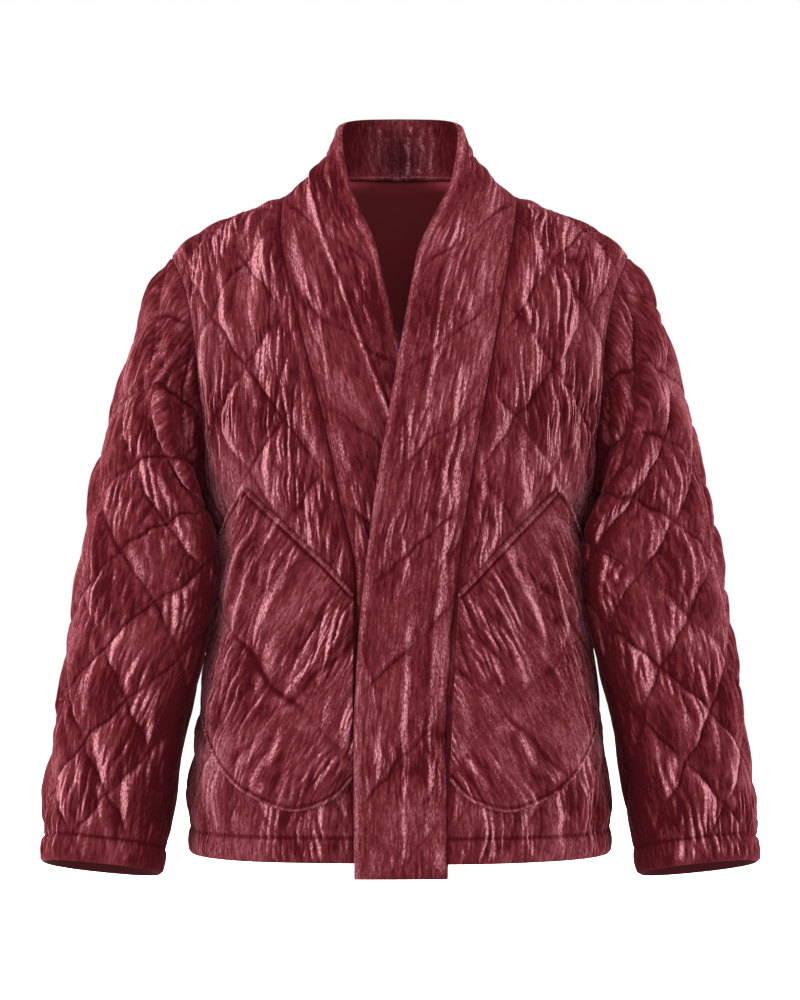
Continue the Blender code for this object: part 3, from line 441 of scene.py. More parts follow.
def make_piece(name, node_name, outside, inside, facing, cloth, shine, materials, mirror=False,
               inside_shine=None, inside_cloth=None, tube_girth=None):
    """Closed shell of a piece from a fine grid outside and a coarser one inside, as a new object.

    The cloth coordinates become its UV map, in metres, and the shine, its painted sheen and shade, a point
    attribute. A mirrored piece is worked out on the left and put on the right.
    """
    if mirror:
        outside, inside, facing = outside * [-1, 1, 1], inside * [-1, 1, 1], -facing
    tube = tube_girth is not None
    rows, columns = outside.shape[:2]
    outer = np.arange(rows * columns).reshape(rows, columns)
    inner = outer.size + np.arange(inside.shape[0] * inside.shape[1]).reshape(inside.shape[:2])
    step = (rows - 1) // (inside.shape[0] - 1)
    if tube:
        shift = columns // inside.shape[1] - 1
        rims = [rim(outer[0], inner[0]), rim(np.roll(outer[-1, ::-1], -shift), inner[-1, ::-1])]
    else:
        rims = [rim(border(outer), border(inner))]
    quads = np.concatenate([grid_quads(outer, tube), grid_quads(inner, tube)[:, ::-1]])
    triangles = np.concatenate(rims)
    if facing < 0:
        quads, triangles = quads[:, ::-1], triangles[:, ::-1]
    corners = np.concatenate([quads.ravel(), triangles.ravel()])
    starts = np.concatenate([np.arange(len(quads)) * 4, len(quads) * 4 + np.arange(len(triangles)) * 3])
    points = np.concatenate([outside.reshape(-1, 3), inside.reshape(-1, 3)])

    mesh = bpy.data.meshes.new(name)
    mesh.vertices.add(len(points))
    mesh.vertices.foreach_set("co", points.astype(np.float32).ravel())
    mesh.loops.add(len(corners))
    mesh.loops.foreach_set("vertex_index", corners.astype(np.int32))
    mesh.polygons.add(len(starts))
    mesh.polygons.foreach_set("loop_start", starts.astype(np.int32))
    lined = np.zeros(len(starts), dtype=np.int32)
    lined[len(grid_quads(outer, tube)):len(quads)] = 1
    mesh.polygons.foreach_set("material_index", lined)
    mesh.update(calc_edges=True)
    mesh.polygons.foreach_set("use_smooth", np.ones(len(starts), dtype=bool))

    inside_cloth = cloth[::step, ::step] if inside_cloth is None else inside_cloth
    places = np.concatenate([cloth.reshape(-1, 2), inside_cloth.reshape(-1, 2)])[corners]
    if tube:
        sizes = (outside.shape[:2], inside.shape[:2])
        first = np.concatenate([np.tile(np.arange(over) == 0, up) for up, over in sizes])[corners]
        last = np.concatenate([np.tile(np.arange(over) == over - 1, up) for up, over in sizes])[corners]
        face = np.repeat(np.arange(len(starts)), np.diff(np.append(starts, len(corners))))
        wraps = np.zeros(len(starts), dtype=bool)
        wraps[face[last]] = True
        places[:, 0] += tube_girth * (first & wraps[face])
    uv = mesh.uv_layers.new(name="cloth")
    uv.data.foreach_set("uv", places.astype(np.float32).ravel())
    inside_shine = np.zeros(inner.size) if inside_shine is None else inside_shine.ravel()
    shines = np.concatenate([shine.ravel(), inside_shine])
    mesh.attributes.new("shine", "FLOAT", "POINT").data.foreach_set("value", shines.astype(np.float32))
    for cloth_material in materials:
        mesh.materials.append(cloth_material)
    piece = bpy.data.objects.new(name, mesh)
    bpy.context.collection.objects.link(piece)
    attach(piece, "root")
    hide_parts(node_name)
    return piece


VELVET_DARK, VELVET_MIDDLE = (0.0125, 0.0011, 0.0016, 1), (0.0300, 0.0043, 0.0056, 1)
VELVET_PALE, VELVET_BRIGHT = (0.0620, 0.0175, 0.0215, 1), (0.1400, 0.0560, 0.0635, 1)
VELVET_SHEEN = (1.0, 0.26, 0.32, 1)
LINING_COLOUR = (0.096, 0.0122, 0.0155, 1)
DARK_STOP, MIDDLE_STOP, PALE_STOP, BRIGHT_STOP = 0.02, 0.30, 0.60, 1.0
Grain = namedtuple("Grain", "across along detail weight")
STREAKS, FLECKS, CLOUDS = Grain(420, 75, 3.0, 0.64), Grain(880, 300, 2.0, 0.54), Grain(24, 13, 1.0, 0.46)
PILE_LEVEL, SHINE_WEIGHT, SHINE_FLECKS, SHINE_LESS = -0.505, 0.62, 3.2, -0.60


def node(tree, kind, inputs=(), **settings):
    """A new shader node with its settings and inputs. An input is a value, or a socket to join it to."""
    made = tree.nodes.new(kind)
    for key, value in settings.items():
        setattr(made, key, value)
    for key, value in dict(inputs).items():
        if isinstance(value, bpy.types.NodeSocket):
            tree.links.new(value, made.inputs[key])
        else:
            made.inputs[key].default_value = value
    return made


def velvet_material():
    """Crushed velvet: dark to pale by the painted sheen and shade in the shine attribute, and streaked, flecked
    and clouded along the grain.
    """
    velvet = bpy.data.materials.new("velvet")
    velvet.use_nodes = True
    tree = velvet.node_tree
    shader = tree.nodes["Principled BSDF"]
    cloth = node(tree, "ShaderNodeUVMap", uv_map="cloth").outputs["UV"]
    shine = node(tree, "ShaderNodeAttribute", attribute_name="shine").outputs["Fac"]

    def grain(threads):
        scaled = node(tree, "ShaderNodeMapping", {"Vector": cloth, "Scale": (threads.across, threads.along, 1)})
        inputs = {"Vector": scaled.outputs[0], "Scale": 1.0, "Detail": threads.detail, "Roughness": 0.6}
        return node(tree, "ShaderNodeTexNoise", inputs, noise_dimensions="2D").outputs["Fac"]

    def add(a, b, factor):
        return node(tree, "ShaderNodeMath", {0: b, 1: factor, 2: a}, operation="MULTIPLY_ADD").outputs[0]

    streaks, flecks, clouds = grain(STREAKS), grain(FLECKS), grain(CLOUDS)
    mottling = add(SHINE_LESS, flecks, SHINE_FLECKS)
    mottled = node(tree, "ShaderNodeMath", {0: shine, 1: mottling}, operation="MULTIPLY").outputs[0]
    painted_sheen_and_grain = add(PILE_LEVEL, mottled, SHINE_WEIGHT)
    for waves, threads in ((streaks, STREAKS), (flecks, FLECKS), (clouds, CLOUDS)):
        painted_sheen_and_grain = add(painted_sheen_and_grain, waves, threads.weight)
    ramp = node(tree, "ShaderNodeValToRGB", {"Fac": painted_sheen_and_grain})
    stops = ramp.color_ramp.elements
    stops[0].position, stops[0].color = DARK_STOP, VELVET_DARK
    stops[1].position, stops[1].color = BRIGHT_STOP, VELVET_BRIGHT
    for position, colour in ((MIDDLE_STOP, VELVET_MIDDLE), (PALE_STOP, VELVET_PALE)):
        stop = stops.new(position)
        stop.color = colour
    bump = node(tree, "ShaderNodeBump", {"Height": streaks, "Strength": 0.8, "Distance": 0.0009})
    tree.links.new(ramp.outputs["Color"], shader.inputs["Base Color"])
    tree.links.new(bump.outputs["Normal"], shader.inputs["Normal"])
    shader.inputs["Roughness"].default_value = 0.80
    shader.inputs["Specular IOR Level"].default_value = 0.0
    shader.inputs["Sheen Weight"].default_value = 0.05
    shader.inputs["Sheen Roughness"].default_value = 0.30
    shader.inputs["Sheen Tint"].default_value = VELVET_SHEEN
    return velvet


def lining_material(name, colour):
    """Plain woven lining: smooth, dark and a little lustrous."""
    lining = bpy.data.materials.new(name)
    lining.use_nodes = True
    shader = lining.node_tree.nodes["Principled BSDF"]
    shader.inputs["Base Color"].default_value = colour
    shader.inputs["Roughness"].default_value = 0.75
    shader.inputs["Specular IOR Level"].default_value = 0.02
    return lining


velvet = velvet_material()
lining = lining_material("lining", LINING_COLOUR)
INSIDE_STEP = 6


def body_panel(name, node_name, face, wrap, places, origin, seed, folds, mirror=False, covered=None):
    """A quilted body panel on a grid of places: wall, quilting, hem roll, crinkles, folds and rounded edges."""
    base = body_from_xz(face, *xz_from_place(face, places), wrap)
    cloth = cloth_from_place(face, places)
    facing = 1 if face == FRONT else -1
    normals = outward(base, facing)
    bottom, top, left, right = edge_distance(base)
    seam = np.minimum(np.minimum(left, right), top)
    edge = np.minimum(seam, bottom)
    height = cloth[..., 1] - HEM_Z
    hem_stitch = bell(height - HEM_DEPTH, STITCH_WIDTH)
    level_hem = ease(HEM_DEPTH, HEM_DEPTH + SEAM_SOFTENING, height)
    calm = ease(0, SEAM_SOFTENING, seam) * level_hem
    raised, shade, swell, within = quilting(*stitch_lines(cloth, origin), PUFF, seed, firm=BODY_FIRM)
    raised, shade, swell = raised * calm, shade * calm, swell * calm
    joined = np.minimum(right, top) if face == FRONT else seam
    raised = raised + SEAM_LIFT * (1 - ease(0, SEAM_SOFTENING, joined)) * level_hem
    raised = raised + HEM_ROLL * PUFF * np.sin(math.pi * np.clip(height / HEM_DEPTH, 0, 1))
    raised = raised - STITCH_DEPTH * HEM_STITCH * hem_stitch
    crinkles, painted_crease_shade = crush(cloth[..., 0], cloth[..., 1], seed)
    crinkles = crinkles * at_least(CRUSH_AT_STITCH, within) + body_folds(face, cloth, folds)
    crinkles = crinkles * ease(0, SHOULDER_CALM, top) * ease(0, EDGE_CALM, edge)
    raised = raised + crinkles
    middle = BACK_MIDDLE if face == BACK else None
    shine = painted_pile_sheen(base, normals, crinkles + swell, facing, middle=middle) - painted_crease_shade
    # Painted shade along the hem's stitch, and on a front a painted shadow beside the band's seam.
    shade = shade + HEM_SHADE * hem_stitch
    if face == FRONT:
        shade = shade + BAND_SHADE * bell(left, BAND_SHADE_WIDTH)
    if covered is not None:
        raised = raised * covered(cloth, base)
    keep = np.where(seam < bottom, SEAM_KEEP, EDGE_KEEP)
    outside = base + normals * rounded_off(raised, edge, QUILTED_WALL, keep)[..., None]
    inside = base[::INSIDE_STEP, ::INSIDE_STEP]
    piece = make_piece(name, node_name, outside, inside, facing, cloth, shine - shade, (velvet, lining), mirror)
    return piece, cloth


Fold = namedtuple("Fold", "x z to_x to_z width height")
BACK_FOLDS = (
    Fold(-0.150, -0.070, -0.128, -0.150, 0.007, 0.0040),
    Fold(-0.095, -0.050, -0.100, -0.170, 0.009, 0.0035),
    Fold(0.140, -0.080, 0.126, -0.140, 0.007, 0.0040),
    Fold(0.172, -0.180, 0.160, -0.260, 0.008, 0.0035),
    Fold(-0.170, -0.200, -0.158, -0.290, 0.008, 0.0040),
    Fold(0.060, -0.420, 0.075, -0.540, 0.009, 0.0030),
    Fold(-0.050, -0.380, -0.045, -0.500, 0.008, 0.0030),
    Fold(0.150, -0.402, 0.171, -0.398, 0.004, -0.0035),
    Fold(-0.150, -0.402, -0.171, -0.398, 0.004, -0.0035),
)


def body_folds(face, cloth, folds):
    """Height of a panel's folds. Their ends are stated where they are seen, in x and z."""
    def place(x, z):
        return cloth_from_place(face, place_from_xz(face, np.array(x), np.array(z)))

    return fold_height(cloth, [(place(f.x, f.z), place(f.to_x, f.to_z), f.width, f.height) for f in folds])


BACK_COLUMNS, BACK_ROWS = 330, 228
SHOULDER_SHARE = 78 / 330


def back_places(columns, rows):
    """Grid of places over the whole back: side seams and armholes left and right, shoulders and neck on top."""
    shoulder = round(columns * SHOULDER_SHARE)
    neck = columns // 2 - shoulder
    right = even_places(BACK, side_places(BACK), rows)
    left = right * [-1, 1]
    half_top = np.concatenate([even_places(BACK, shoulder_places(BACK)[::-1], shoulder),
                               even_places(BACK, neck_places(), neck)[1:]])
    top = np.concatenate([half_top * [-1, 1], half_top[::-1][1:]])
    hem = np.stack([np.linspace(-math.pi / 2, math.pi / 2, columns + 1), np.full(columns + 1, HEM_Z)], axis=1)
    return patch(hem, top, left, right)


back, back_cloth = body_panel("back_velvet", "back", BACK, 0, back_places(BACK_COLUMNS, BACK_ROWS),
                              (0.0, FRONT_QUILT_Z), 100, BACK_FOLDS)

# The fronts: two quilted panels from shoulder to hem, sewn to the back at the sides and shoulders.
# The crinkles of the velvet run down them, and the waist is drawn in a little at each side.
FRONT_COLUMNS, FRONT_ROWS = 204, 228
OVER, UNDER = 1, -1
UNDER_BAND_X = (0.045, 0.075)
SEAM_SAMPLES, MOUTH_STEPS, ROUND_STEPS, INNER_STEPS = 400, 40, 90, 30

BandSeam = namedtuple("BandSeam", "z left_x right_x")
BAND_SEAM = (
    BandSeam(-0.640, 0.042, 0.040),
    BandSeam(-0.500, 0.0415, 0.0390),
    BandSeam(-0.420, 0.0450, 0.0380),
    BandSeam(-0.350, 0.0520, 0.0400),
    BandSeam(-0.285, 0.0605, 0.0535),
    BandSeam(-0.210, 0.0730, 0.0690),
    BandSeam(-0.130, 0.0870, 0.0895),
    BandSeam(-0.085, 0.0950, 0.1000),
    BandSeam(-0.040, 0.1030, 0.1085),
    BandSeam(NECK_Z, NECK_X, NECK_X),
)
PocketPoint = namedtuple("PocketPoint", "share z")
POCKET_MOUTH = (PocketPoint(0.012, -0.366), PocketPoint(0.46, -0.271))
POCKET_ROUND = (
    PocketPoint(0.012, -0.535),
    PocketPoint(0.09, -0.552),
    PocketPoint(0.26, -0.564),
    PocketPoint(0.48, -0.549),
    PocketPoint(0.73, -0.507),
    PocketPoint(0.91, -0.462),
    PocketPoint(0.98, -0.405),
    PocketPoint(0.91, -0.348),
    PocketPoint(0.69, -0.305),
    PocketPoint(0.46, -0.271),
)
POCKET_MARGIN = 0.004

LEFT_FOLDS = (
    Fold(0.113, -0.014, 0.123, -0.082, 0.0055, 0.0035),
    Fold(0.104, -0.098, 0.118, -0.139, 0.0050, 0.0030),
    Fold(0.138, -0.090, 0.137, -0.124, 0.0050, 0.0025),
    Fold(0.150, -0.126, 0.136, -0.172, 0.0050, 0.0032),
    Fold(0.149, -0.178, 0.153, -0.248, 0.0060, 0.0035),
    Fold(0.181, -0.160, 0.176, -0.220, 0.0060, 0.0030),
    Fold(0.150, -0.402, 0.172, -0.400, 0.0040, -0.0040),
    Fold(0.148, -0.394, 0.170, -0.374, 0.0045, 0.0030),
    Fold(0.148, -0.411, 0.173, -0.430, 0.0045, 0.0030),
)
RIGHT_FOLDS = (
    Fold(0.122, -0.030, 0.122, -0.104, 0.0080, 0.0042),
    Fold(0.143, -0.022, 0.156, -0.066, 0.0070, 0.0042),
    Fold(0.128, -0.018, 0.137, -0.050, 0.0050, 0.0030),
    Fold(0.1555, -0.074, 0.1555, -0.130, 0.0070, 0.0036),
    Fold(0.138, -0.155, 0.126, -0.200, 0.0060, 0.0030),
    Fold(0.167, -0.184, 0.170, -0.238, 0.0070, 0.0036),
    Fold(0.150, -0.403, 0.172, -0.399, 0.0040, -0.0045),
    Fold(0.148, -0.395, 0.170, -0.372, 0.0045, 0.0035),
    Fold(0.148, -0.412, 0.173, -0.434, 0.0045, 0.0035),
    Fold(0.152, -0.430, 0.175, -0.455, 0.0040, 0.0025),
)


def band_seam_x(z, wrap):
    """Distance from the middle to the seam between band and front."""
    return curve(column(BAND_SEAM, "z"), column(BAND_SEAM, "left_x" if wrap == OVER else "right_x"), z)


def band_seam_places(wrap):
    """Places along the seam between band and front, from the hem up to the shoulder seam."""
    z = np.linspace(HEM_Z, NECK_Z, SEAM_SAMPLES)
    return place_from_xz(FRONT, band_seam_x(z, wrap), z)


def pocket_line(edge, share, wrap):
    """Points along one edge of a pocket, in cloth coordinates of the front."""
    knots = np.linspace(0, 1, len(edge))
    across = curve(knots, column(edge, "share"), share)
    z = curve(knots, column(edge, "z"), share)
    inner = girth(FRONT, place_from_xz(FRONT, band_seam_x(z, wrap), z)[..., 0], z)
    outer = girth(FRONT, np.full(len(z), math.pi / 2), z)
    return np.stack([inner + across * (outer - inner), z], axis=1)


def pocket_outline(wrap):
    """The pocket's outline once round: up the mouth, and back along the round edge."""
    mouth = pocket_line(POCKET_MOUTH, np.linspace(0, 1, MOUTH_STEPS), wrap)
    rounded = pocket_line(POCKET_ROUND, np.linspace(1, 0, ROUND_STEPS), wrap)
    inner = rounded[-1] + (mouth[0] - rounded[-1]) * np.linspace(0, 1, INNER_STEPS)[1:-1, None]
    return np.concatenate([mouth, rounded[1:], inner])


def distance_to_line(points, line):
    """Distance from each point to the nearest stretch of a line."""
    flat = points.reshape(-1, 2)
    start, edge = line[:-1], np.diff(line, axis=0)
    nearest = np.full(len(flat), np.inf)
    for first, step in zip(start, edge):
        offset = flat - first
        share = np.clip(offset @ step / max(step @ step, 1e-18), 0, 1)
        nearest = np.minimum(nearest, np.linalg.norm(offset - share[:, None] * step, axis=1))
    return nearest.reshape(points.shape[:-1])


def inside_outline(points, outline):
    """Whether each point is inside a closed outline: a line to its right crosses it an odd number of times."""
    x, y = points[..., 0], points[..., 1]
    odd = np.zeros(x.shape, dtype=bool)
    for (ax, ay), (bx, by) in zip(outline, np.roll(outline, -1, axis=0)):
        if ay != by:
            odd ^= ((ay > y) != (by > y)) & (x < ax + (y - ay) * (bx - ax) / (by - ay))
    return odd


def front(name, node_name, wrap, seed, folds):
    """A front panel: flat under its pocket, and under the other front's band."""
    seam = even_places(FRONT, band_seam_places(wrap), FRONT_ROWS)
    side = even_places(FRONT, side_places(FRONT), FRONT_ROWS)
    top = even_places(FRONT, shoulder_places(FRONT), FRONT_COLUMNS)
    angles = np.linspace(seam[0, 0], side[0, 0], FRONT_COLUMNS + 1)
    hem = np.stack([angles, np.full(FRONT_COLUMNS + 1, HEM_Z)], axis=1)
    places = patch(hem, top, seam, side)
    outline = pocket_outline(wrap)
    origin = cloth_from_place(FRONT, place_from_xz(FRONT, np.array(FRONT_QUILT_X), np.array(FRONT_QUILT_Z)))

    def covered(cloth, base):
        away = distance_to_line(cloth, np.append(outline, outline[:1], 0))
        away = np.where(inside_outline(cloth, outline), 0, away)
        pocket = ease(POCKET_MARGIN, POCKET_MARGIN + SEAM_SOFTENING, away)
        if wrap == OVER:
            return pocket
        return pocket * np.where(base[..., 2] < WRAP_LOW_Z, ease(*UNDER_BAND_X, base[..., 0]), 1)

    return body_panel(name, node_name, FRONT, wrap, places, origin, seed, folds, wrap == UNDER, covered)


for side, wrap, seed, folds in (("left", OVER, 200, LEFT_FOLDS), ("right", UNDER, 300, RIGHT_FOLDS)):
    piece, cloth = front(f"front_{side}_velvet", f"front_{side}", wrap, seed, folds)

# The sleeves: each a quilted tube set into a dropped armhole, with its seam under the arm.
# Folds run down from the armhole where the arm hangs, and the cuff is turned up and stitched.
SleeveRing = namedtuple("SleeveRing", "outer_x outer_z inner_x inner_z middle_y half_depth pitch hug")
SLEEVE = (
    SleeveRing(SHOULDER_X, SHOULDER_Z, 0.1780, UNDERARM_Z, 0.000, 0.060, 0.00, 0.00),
    SleeveRing(0.2262, -0.0875, 0.1840, -0.2860, 0.000, 0.066, 0.00, 0.00),
    SleeveRing(0.2367, -0.1160, 0.1885, -0.2865, -0.001, 0.070, 0.00, 0.05),
    SleeveRing(0.2480, -0.1530, 0.1915, -0.2915, -0.003, 0.073, 0.00, 0.15),
    SleeveRing(0.2590, -0.1910, 0.1915, -0.3010, -0.005, 0.074, 0.00, 0.35),
    SleeveRing(0.2765, -0.2650, 0.1862, -0.3250, -0.008, 0.073, 0.00, 0.55),
    SleeveRing(0.2910, -0.3390, 0.1840, -0.3660, -0.010, 0.069, 0.00, 0.60),
    SleeveRing(0.3020, -0.4140, 0.1894, -0.4320, -0.012, 0.064, 0.00, 0.35),
    SleeveRing(0.3130, -0.4880, 0.2020, -0.5050, -0.016, 0.058, 0.04, 0.10),
    SleeveRing(0.3225, -0.5630, 0.2135, -0.5770, -0.021, 0.053, 0.12, 0.00),
    SleeveRing(0.3285, -0.6180, 0.2225, -0.6285, -0.024, 0.050, 0.20, 0.00),
)
SLEEVE_DIAMONDS, SLEEVE_ROW_STEPS = 6, 36
CUFF_DEPTH = 0.024
SLEEVE_FULLNESS, CAP_REACH = 0.15, 0.16
CALM_UNDERARM, CALM_FROM, CALM_TO = 0.35, 0.2, 0.9
FOLD_START, ARM_RADIUS = 0.030, 0.065
SLEEVE_COLUMNS, SLEEVE_ROWS = 312, 216
SLEEVE_PUFF, SLEEVE_CRUSH, SLEEVE_EDGE_CALM = 0.0056, 0.90, 0.012
SLEEVE_SHINE, SLEEVE_SHADE, CAP_SHINE, CAP_DULL, CAP_PALE = 1.1, 0.13, 0.45, 0.02, 0.12
CUFF_PUFF = 0.25
# The lining inside the sleeves is a darker copy of the lining: painted shade inside the sleeves and cuffs.
SLEEVE_LINING_PAINTED_SHADE_COLOUR = (0.013, 0.0014, 0.0020, 1)
sleeve_lining_painted_shade = lining_material("sleeve_lining_painted_shade", SLEEVE_LINING_PAINTED_SHADE_COLOUR)

SleeveFold = namedtuple("SleeveFold", "turn along length width slant depth")
SLEEVE_FOLDS = (
    SleeveFold(62, 0.085, 0.070, 0.013, 38, 0.0055),
    SleeveFold(95, 0.120, 0.060, 0.012, 44, 0.0050),
    SleeveFold(118, 0.185, 0.055, 0.012, 50, 0.0045),
    SleeveFold(85, 0.255, 0.050, 0.014, -30, 0.0030),
    SleeveFold(255, 0.110, 0.065, 0.014, -40, 0.0050),
    SleeveFold(285, 0.190, 0.060, 0.013, -45, 0.0040),
    SleeveFold(240, 0.330, 0.055, 0.015, 25, 0.0030),
)


def sleeve_fold_height(turn, along):
    """Sum of the soft ridges in the sleeve: each runs a length at a slant across the turn and fades out."""
    height = np.zeros(np.broadcast(turn, along).shape)
    for fold in SLEEVE_FOLDS:
        sideways = ARM_RADIUS * (np.mod(turn - math.radians(fold.turn) + math.pi, 2 * math.pi) - math.pi)
        lengthways = along - fold.along
        slant = math.radians(fold.slant)
        run = sideways * math.cos(slant) + lengthways * math.sin(slant)
        off = -sideways * math.sin(slant) + lengthways * math.cos(slant)
        height = height + fold.depth * bell(run, fold.length) * bell(off, fold.width)
    return height


def armhole_ring(turn):
    """Point of the armhole at a turn round it: 0 at the shoulder tip, half a turn at the underarm."""
    halves = []
    for face in (FRONT, BACK):
        places = even_places(face, armhole_places(face), SEAM_SAMPLES)
        half = body_from_xz(face, *xz_from_place(face, places))
        half[[0, -1], 1] = 0
        halves.append(half)
    loop = np.concatenate([halves[0][::-1], halves[1][1:]])
    place = np.mod(turn, 2 * math.pi) / (2 * math.pi) * (len(loop) - 1)
    return np.stack([np.interp(place, np.arange(len(loop)), loop[:, axis]) for axis in range(3)], axis=-1)


def sleeve(name, node_name, quilt_shift, seed, mirror):
    """A sleeve: rings from the armhole to the cuff, starting and ending at the seam under the arm."""
    outer = np.stack([column(SLEEVE, "outer_x"), column(SLEEVE, "outer_z")], axis=1)
    knots = run_along(outer)
    length = knots[-1]
    along = np.linspace(0, length, SLEEVE_ROWS + 1)[:, None]
    ring = SleeveRing(*(curve(knots, column(SLEEVE, field), along) for field in SleeveRing._fields))
    first = SleeveRing(*(curve(knots, column(SLEEVE, field), 0 * along) for field in SleeveRing._fields))
    turn = math.pi + 2 * math.pi * np.arange(SLEEVE_COLUMNS)[None] / SLEEVE_COLUMNS

    def oval(sizes):
        out = np.cos(turn)
        forward = np.sin(turn) * (1 + SLEEVE_FULLNESS * out ** 2) * sizes.half_depth
        x = (sizes.outer_x + sizes.inner_x) / 2 + out * (sizes.outer_x - sizes.inner_x) / 2
        z = (sizes.outer_z + sizes.inner_z) / 2 + out * (sizes.outer_z - sizes.inner_z) / 2
        x = x - sizes.hug * forward * (1 - out) / 2
        return np.stack([x, sizes.middle_y - forward, z + forward * sizes.pitch], axis=-1)

    fade = (1 - ease(0, CAP_REACH, along))[..., None]
    base = oval(ring) + (armhole_ring(turn) - oval(first)) * fade
    calm = 1 - (1 - CALM_UNDERARM) * ease(CALM_FROM, CALM_TO, -np.cos(turn))
    folded = sleeve_fold_height(turn, along) * calm * ease(0, FOLD_START, along)
    base = base + unit(base - base.mean(axis=1, keepdims=True)) * folded[..., None]

    around = turn / (2 * math.pi) * SLEEVE_DIAMONDS
    down = (along / (length - CUFF_DEPTH) * SLEEVE_ROW_STEPS + quilt_shift) / SLEEVE_DIAMONDS
    top, cuff = edge_distance(base, tube=True)
    cuff_stitch = bell(cuff - CUFF_DEPTH, STITCH_WIDTH)
    level_cuff = at_least(CUFF_PUFF, ease(CUFF_DEPTH, CUFF_DEPTH + SEAM_SOFTENING, cuff))
    plain = calm * ease(0, SEAM_SOFTENING, top) * level_cuff
    raised, shade, swell, within = quilting(around + down, around - down, SLEEVE_PUFF, seed)
    raised, shade, swell = raised * plain, shade * plain, swell * plain
    raised = raised + SEAM_LIFT * (1 - ease(0, SEAM_SOFTENING, top))
    raised = raised + HEM_ROLL * PUFF * np.sin(math.pi * np.clip(cuff / CUFF_DEPTH, 0, 1))
    raised = raised - STITCH_DEPTH * HEM_STITCH * cuff_stitch
    arm_girth = 2 * math.pi * ARM_RADIUS
    cloth = np.stack(np.broadcast_arrays((turn - math.pi) * ARM_RADIUS, -along), axis=-1)
    crinkles, painted_crease_shade = crush(cloth[..., 0], cloth[..., 1], seed, arm_girth)
    normals = outward(base, 1, tube=True)
    edge = np.minimum(top, cuff)
    crinkles = SLEEVE_CRUSH * crinkles * at_least(CRUSH_AT_STITCH, within)
    crinkles = crinkles * ease(0, SLEEVE_EDGE_CALM, edge) * calm
    # Painted sheen and shade of the pile, weaker near the shoulder seam, painted shade in the creases and along
    # the cuff's stitch, and the whole sleeve a little darker.
    shine = SLEEVE_SHINE * painted_pile_sheen(base, normals, crinkles + swell, 1, tube=True)
    shine = shine * at_least(CAP_SHINE, ease(CAP_DULL, CAP_PALE, top)) - SLEEVE_CRUSH * painted_crease_shade - SLEEVE_SHADE
    shade = shade + HEM_SHADE * cuff_stitch
    keep = np.where(top < cuff, SEAM_KEEP, EDGE_KEEP)
    outside = base + normals * rounded_off(raised + crinkles, edge, QUILTED_WALL, keep)[..., None]
    piece = make_piece(name, node_name, outside, base[::INSIDE_STEP, ::INSIDE_STEP], 1, cloth, shine - shade,
                       (velvet, sleeve_lining_painted_shade), mirror, tube_girth=arm_girth)
    return piece, base


for side, shift, seed, mirror in (("left", 2, 400, False), ("right", 0, 500, True)):
    piece, base = sleeve(f"sleeve_{side}_velvet", f"sleeve_{side}", shift, seed, mirror)

# The collar and front bands: a doubled strip of velvet along each front edge, up over the shoulder
# and round the back of the neck, where the halves are joined. The left one lies on top.
BAND_WALL, BAND_PUFF = 0.0030, 0.0030
BAND_WIDTH, BAND_DROP = 0.083, 0.013
BAND_ROW_HEIGHT, BAND_CELLS = 0.02324, 4
BAND_BULGE, BAND_FAINT, BAND_FIRM, BAND_CRUSH = 0.005, 0.30, 0.80, 0.70
BAND_COLUMNS, BAND_FRONT_ROWS, BAND_NECK_ROWS = 84, 234, 54
NECK_ROW_STEPS = 6
COLLAR_START_Z = -0.100
SHOULDER_ROWS, SHOULDER_PASSES, SHOULDER_STEP, SHOULDER_FREE = 45, 160, 0.25, 0.3
COLLAR_LEAN = (0.15, 0.42, 1.0)
HEM_ROW, BAND_EDGE_CALM = 3, 0.006
BAND_SAMPLES, BAND_BUNCHING = 4000, 2.2
CollarEdge = namedtuple("CollarEdge", "share x y z")
COLLAR_EDGE = (
    CollarEdge(0.00, 0.0480, -0.0440, 0.014),
    CollarEdge(0.25, 0.0545, -0.0080, 0.052),
    CollarEdge(0.50, 0.0530, 0.0220, 0.069),
    CollarEdge(0.75, 0.0310, 0.0420, 0.0745),
    CollarEdge(1.00, 0.0000, 0.0480, 0.0755),
)
CENTRE_CALM, CENTRE_SHINE, UNDER_SHADE = 0.012, 0.25, 0.12
EDGE_ROLL, EDGE_ROLL_WIDTH, EDGE_SHINE = 0.0022, 0.0032, 0.34
SEWN_EDGE, SEWN_WIDTH, SEWN_RISE, SEWN_SHINE = 0.0030, 0.0011, 0.0008, 0.45
COLLAR_SEAM_WALL, COLLAR_SEAM_WIDTH, COLLAR_SEAM_CALM = 0.0034, 0.006, 0.004
COLLAR_CRUSH, COLLAR_LEAST_SHINE, COLLAR_CLOTH_START = 0.4, -0.15, (0.0, 0.5)
COLLAR_DARK, COLLAR_SHADE, SEAM_SHINE = (0.030, 0.065), 0.45, (0.004, 0.010)
RIDGE_WIGGLE, RIDGE_WIGGLE_LENGTH, RIDGE_APART, RIDGE_END = 0.0030, 0.014, 900, 0.012
CollarRidge = namedtuple("CollarRidge", "away width height")
COLLAR_LEFT_RIDGES = (
    CollarRidge(0.0065, 0.0022, 0.0026),
    CollarRidge(0.0150, 0.0020, 0.0022),
    CollarRidge(0.0205, 0.0018, 0.0022),
    CollarRidge(0.0290, 0.0022, 0.0020),
)
COLLAR_RIGHT_RIDGES = (
    CollarRidge(0.0110, 0.0020, 0.0012),
    CollarRidge(0.0190, 0.0026, 0.0014),
    CollarRidge(0.0270, 0.0022, 0.0014),
)
BandFold = namedtuple("BandFold", "share row to_share to_row width height")
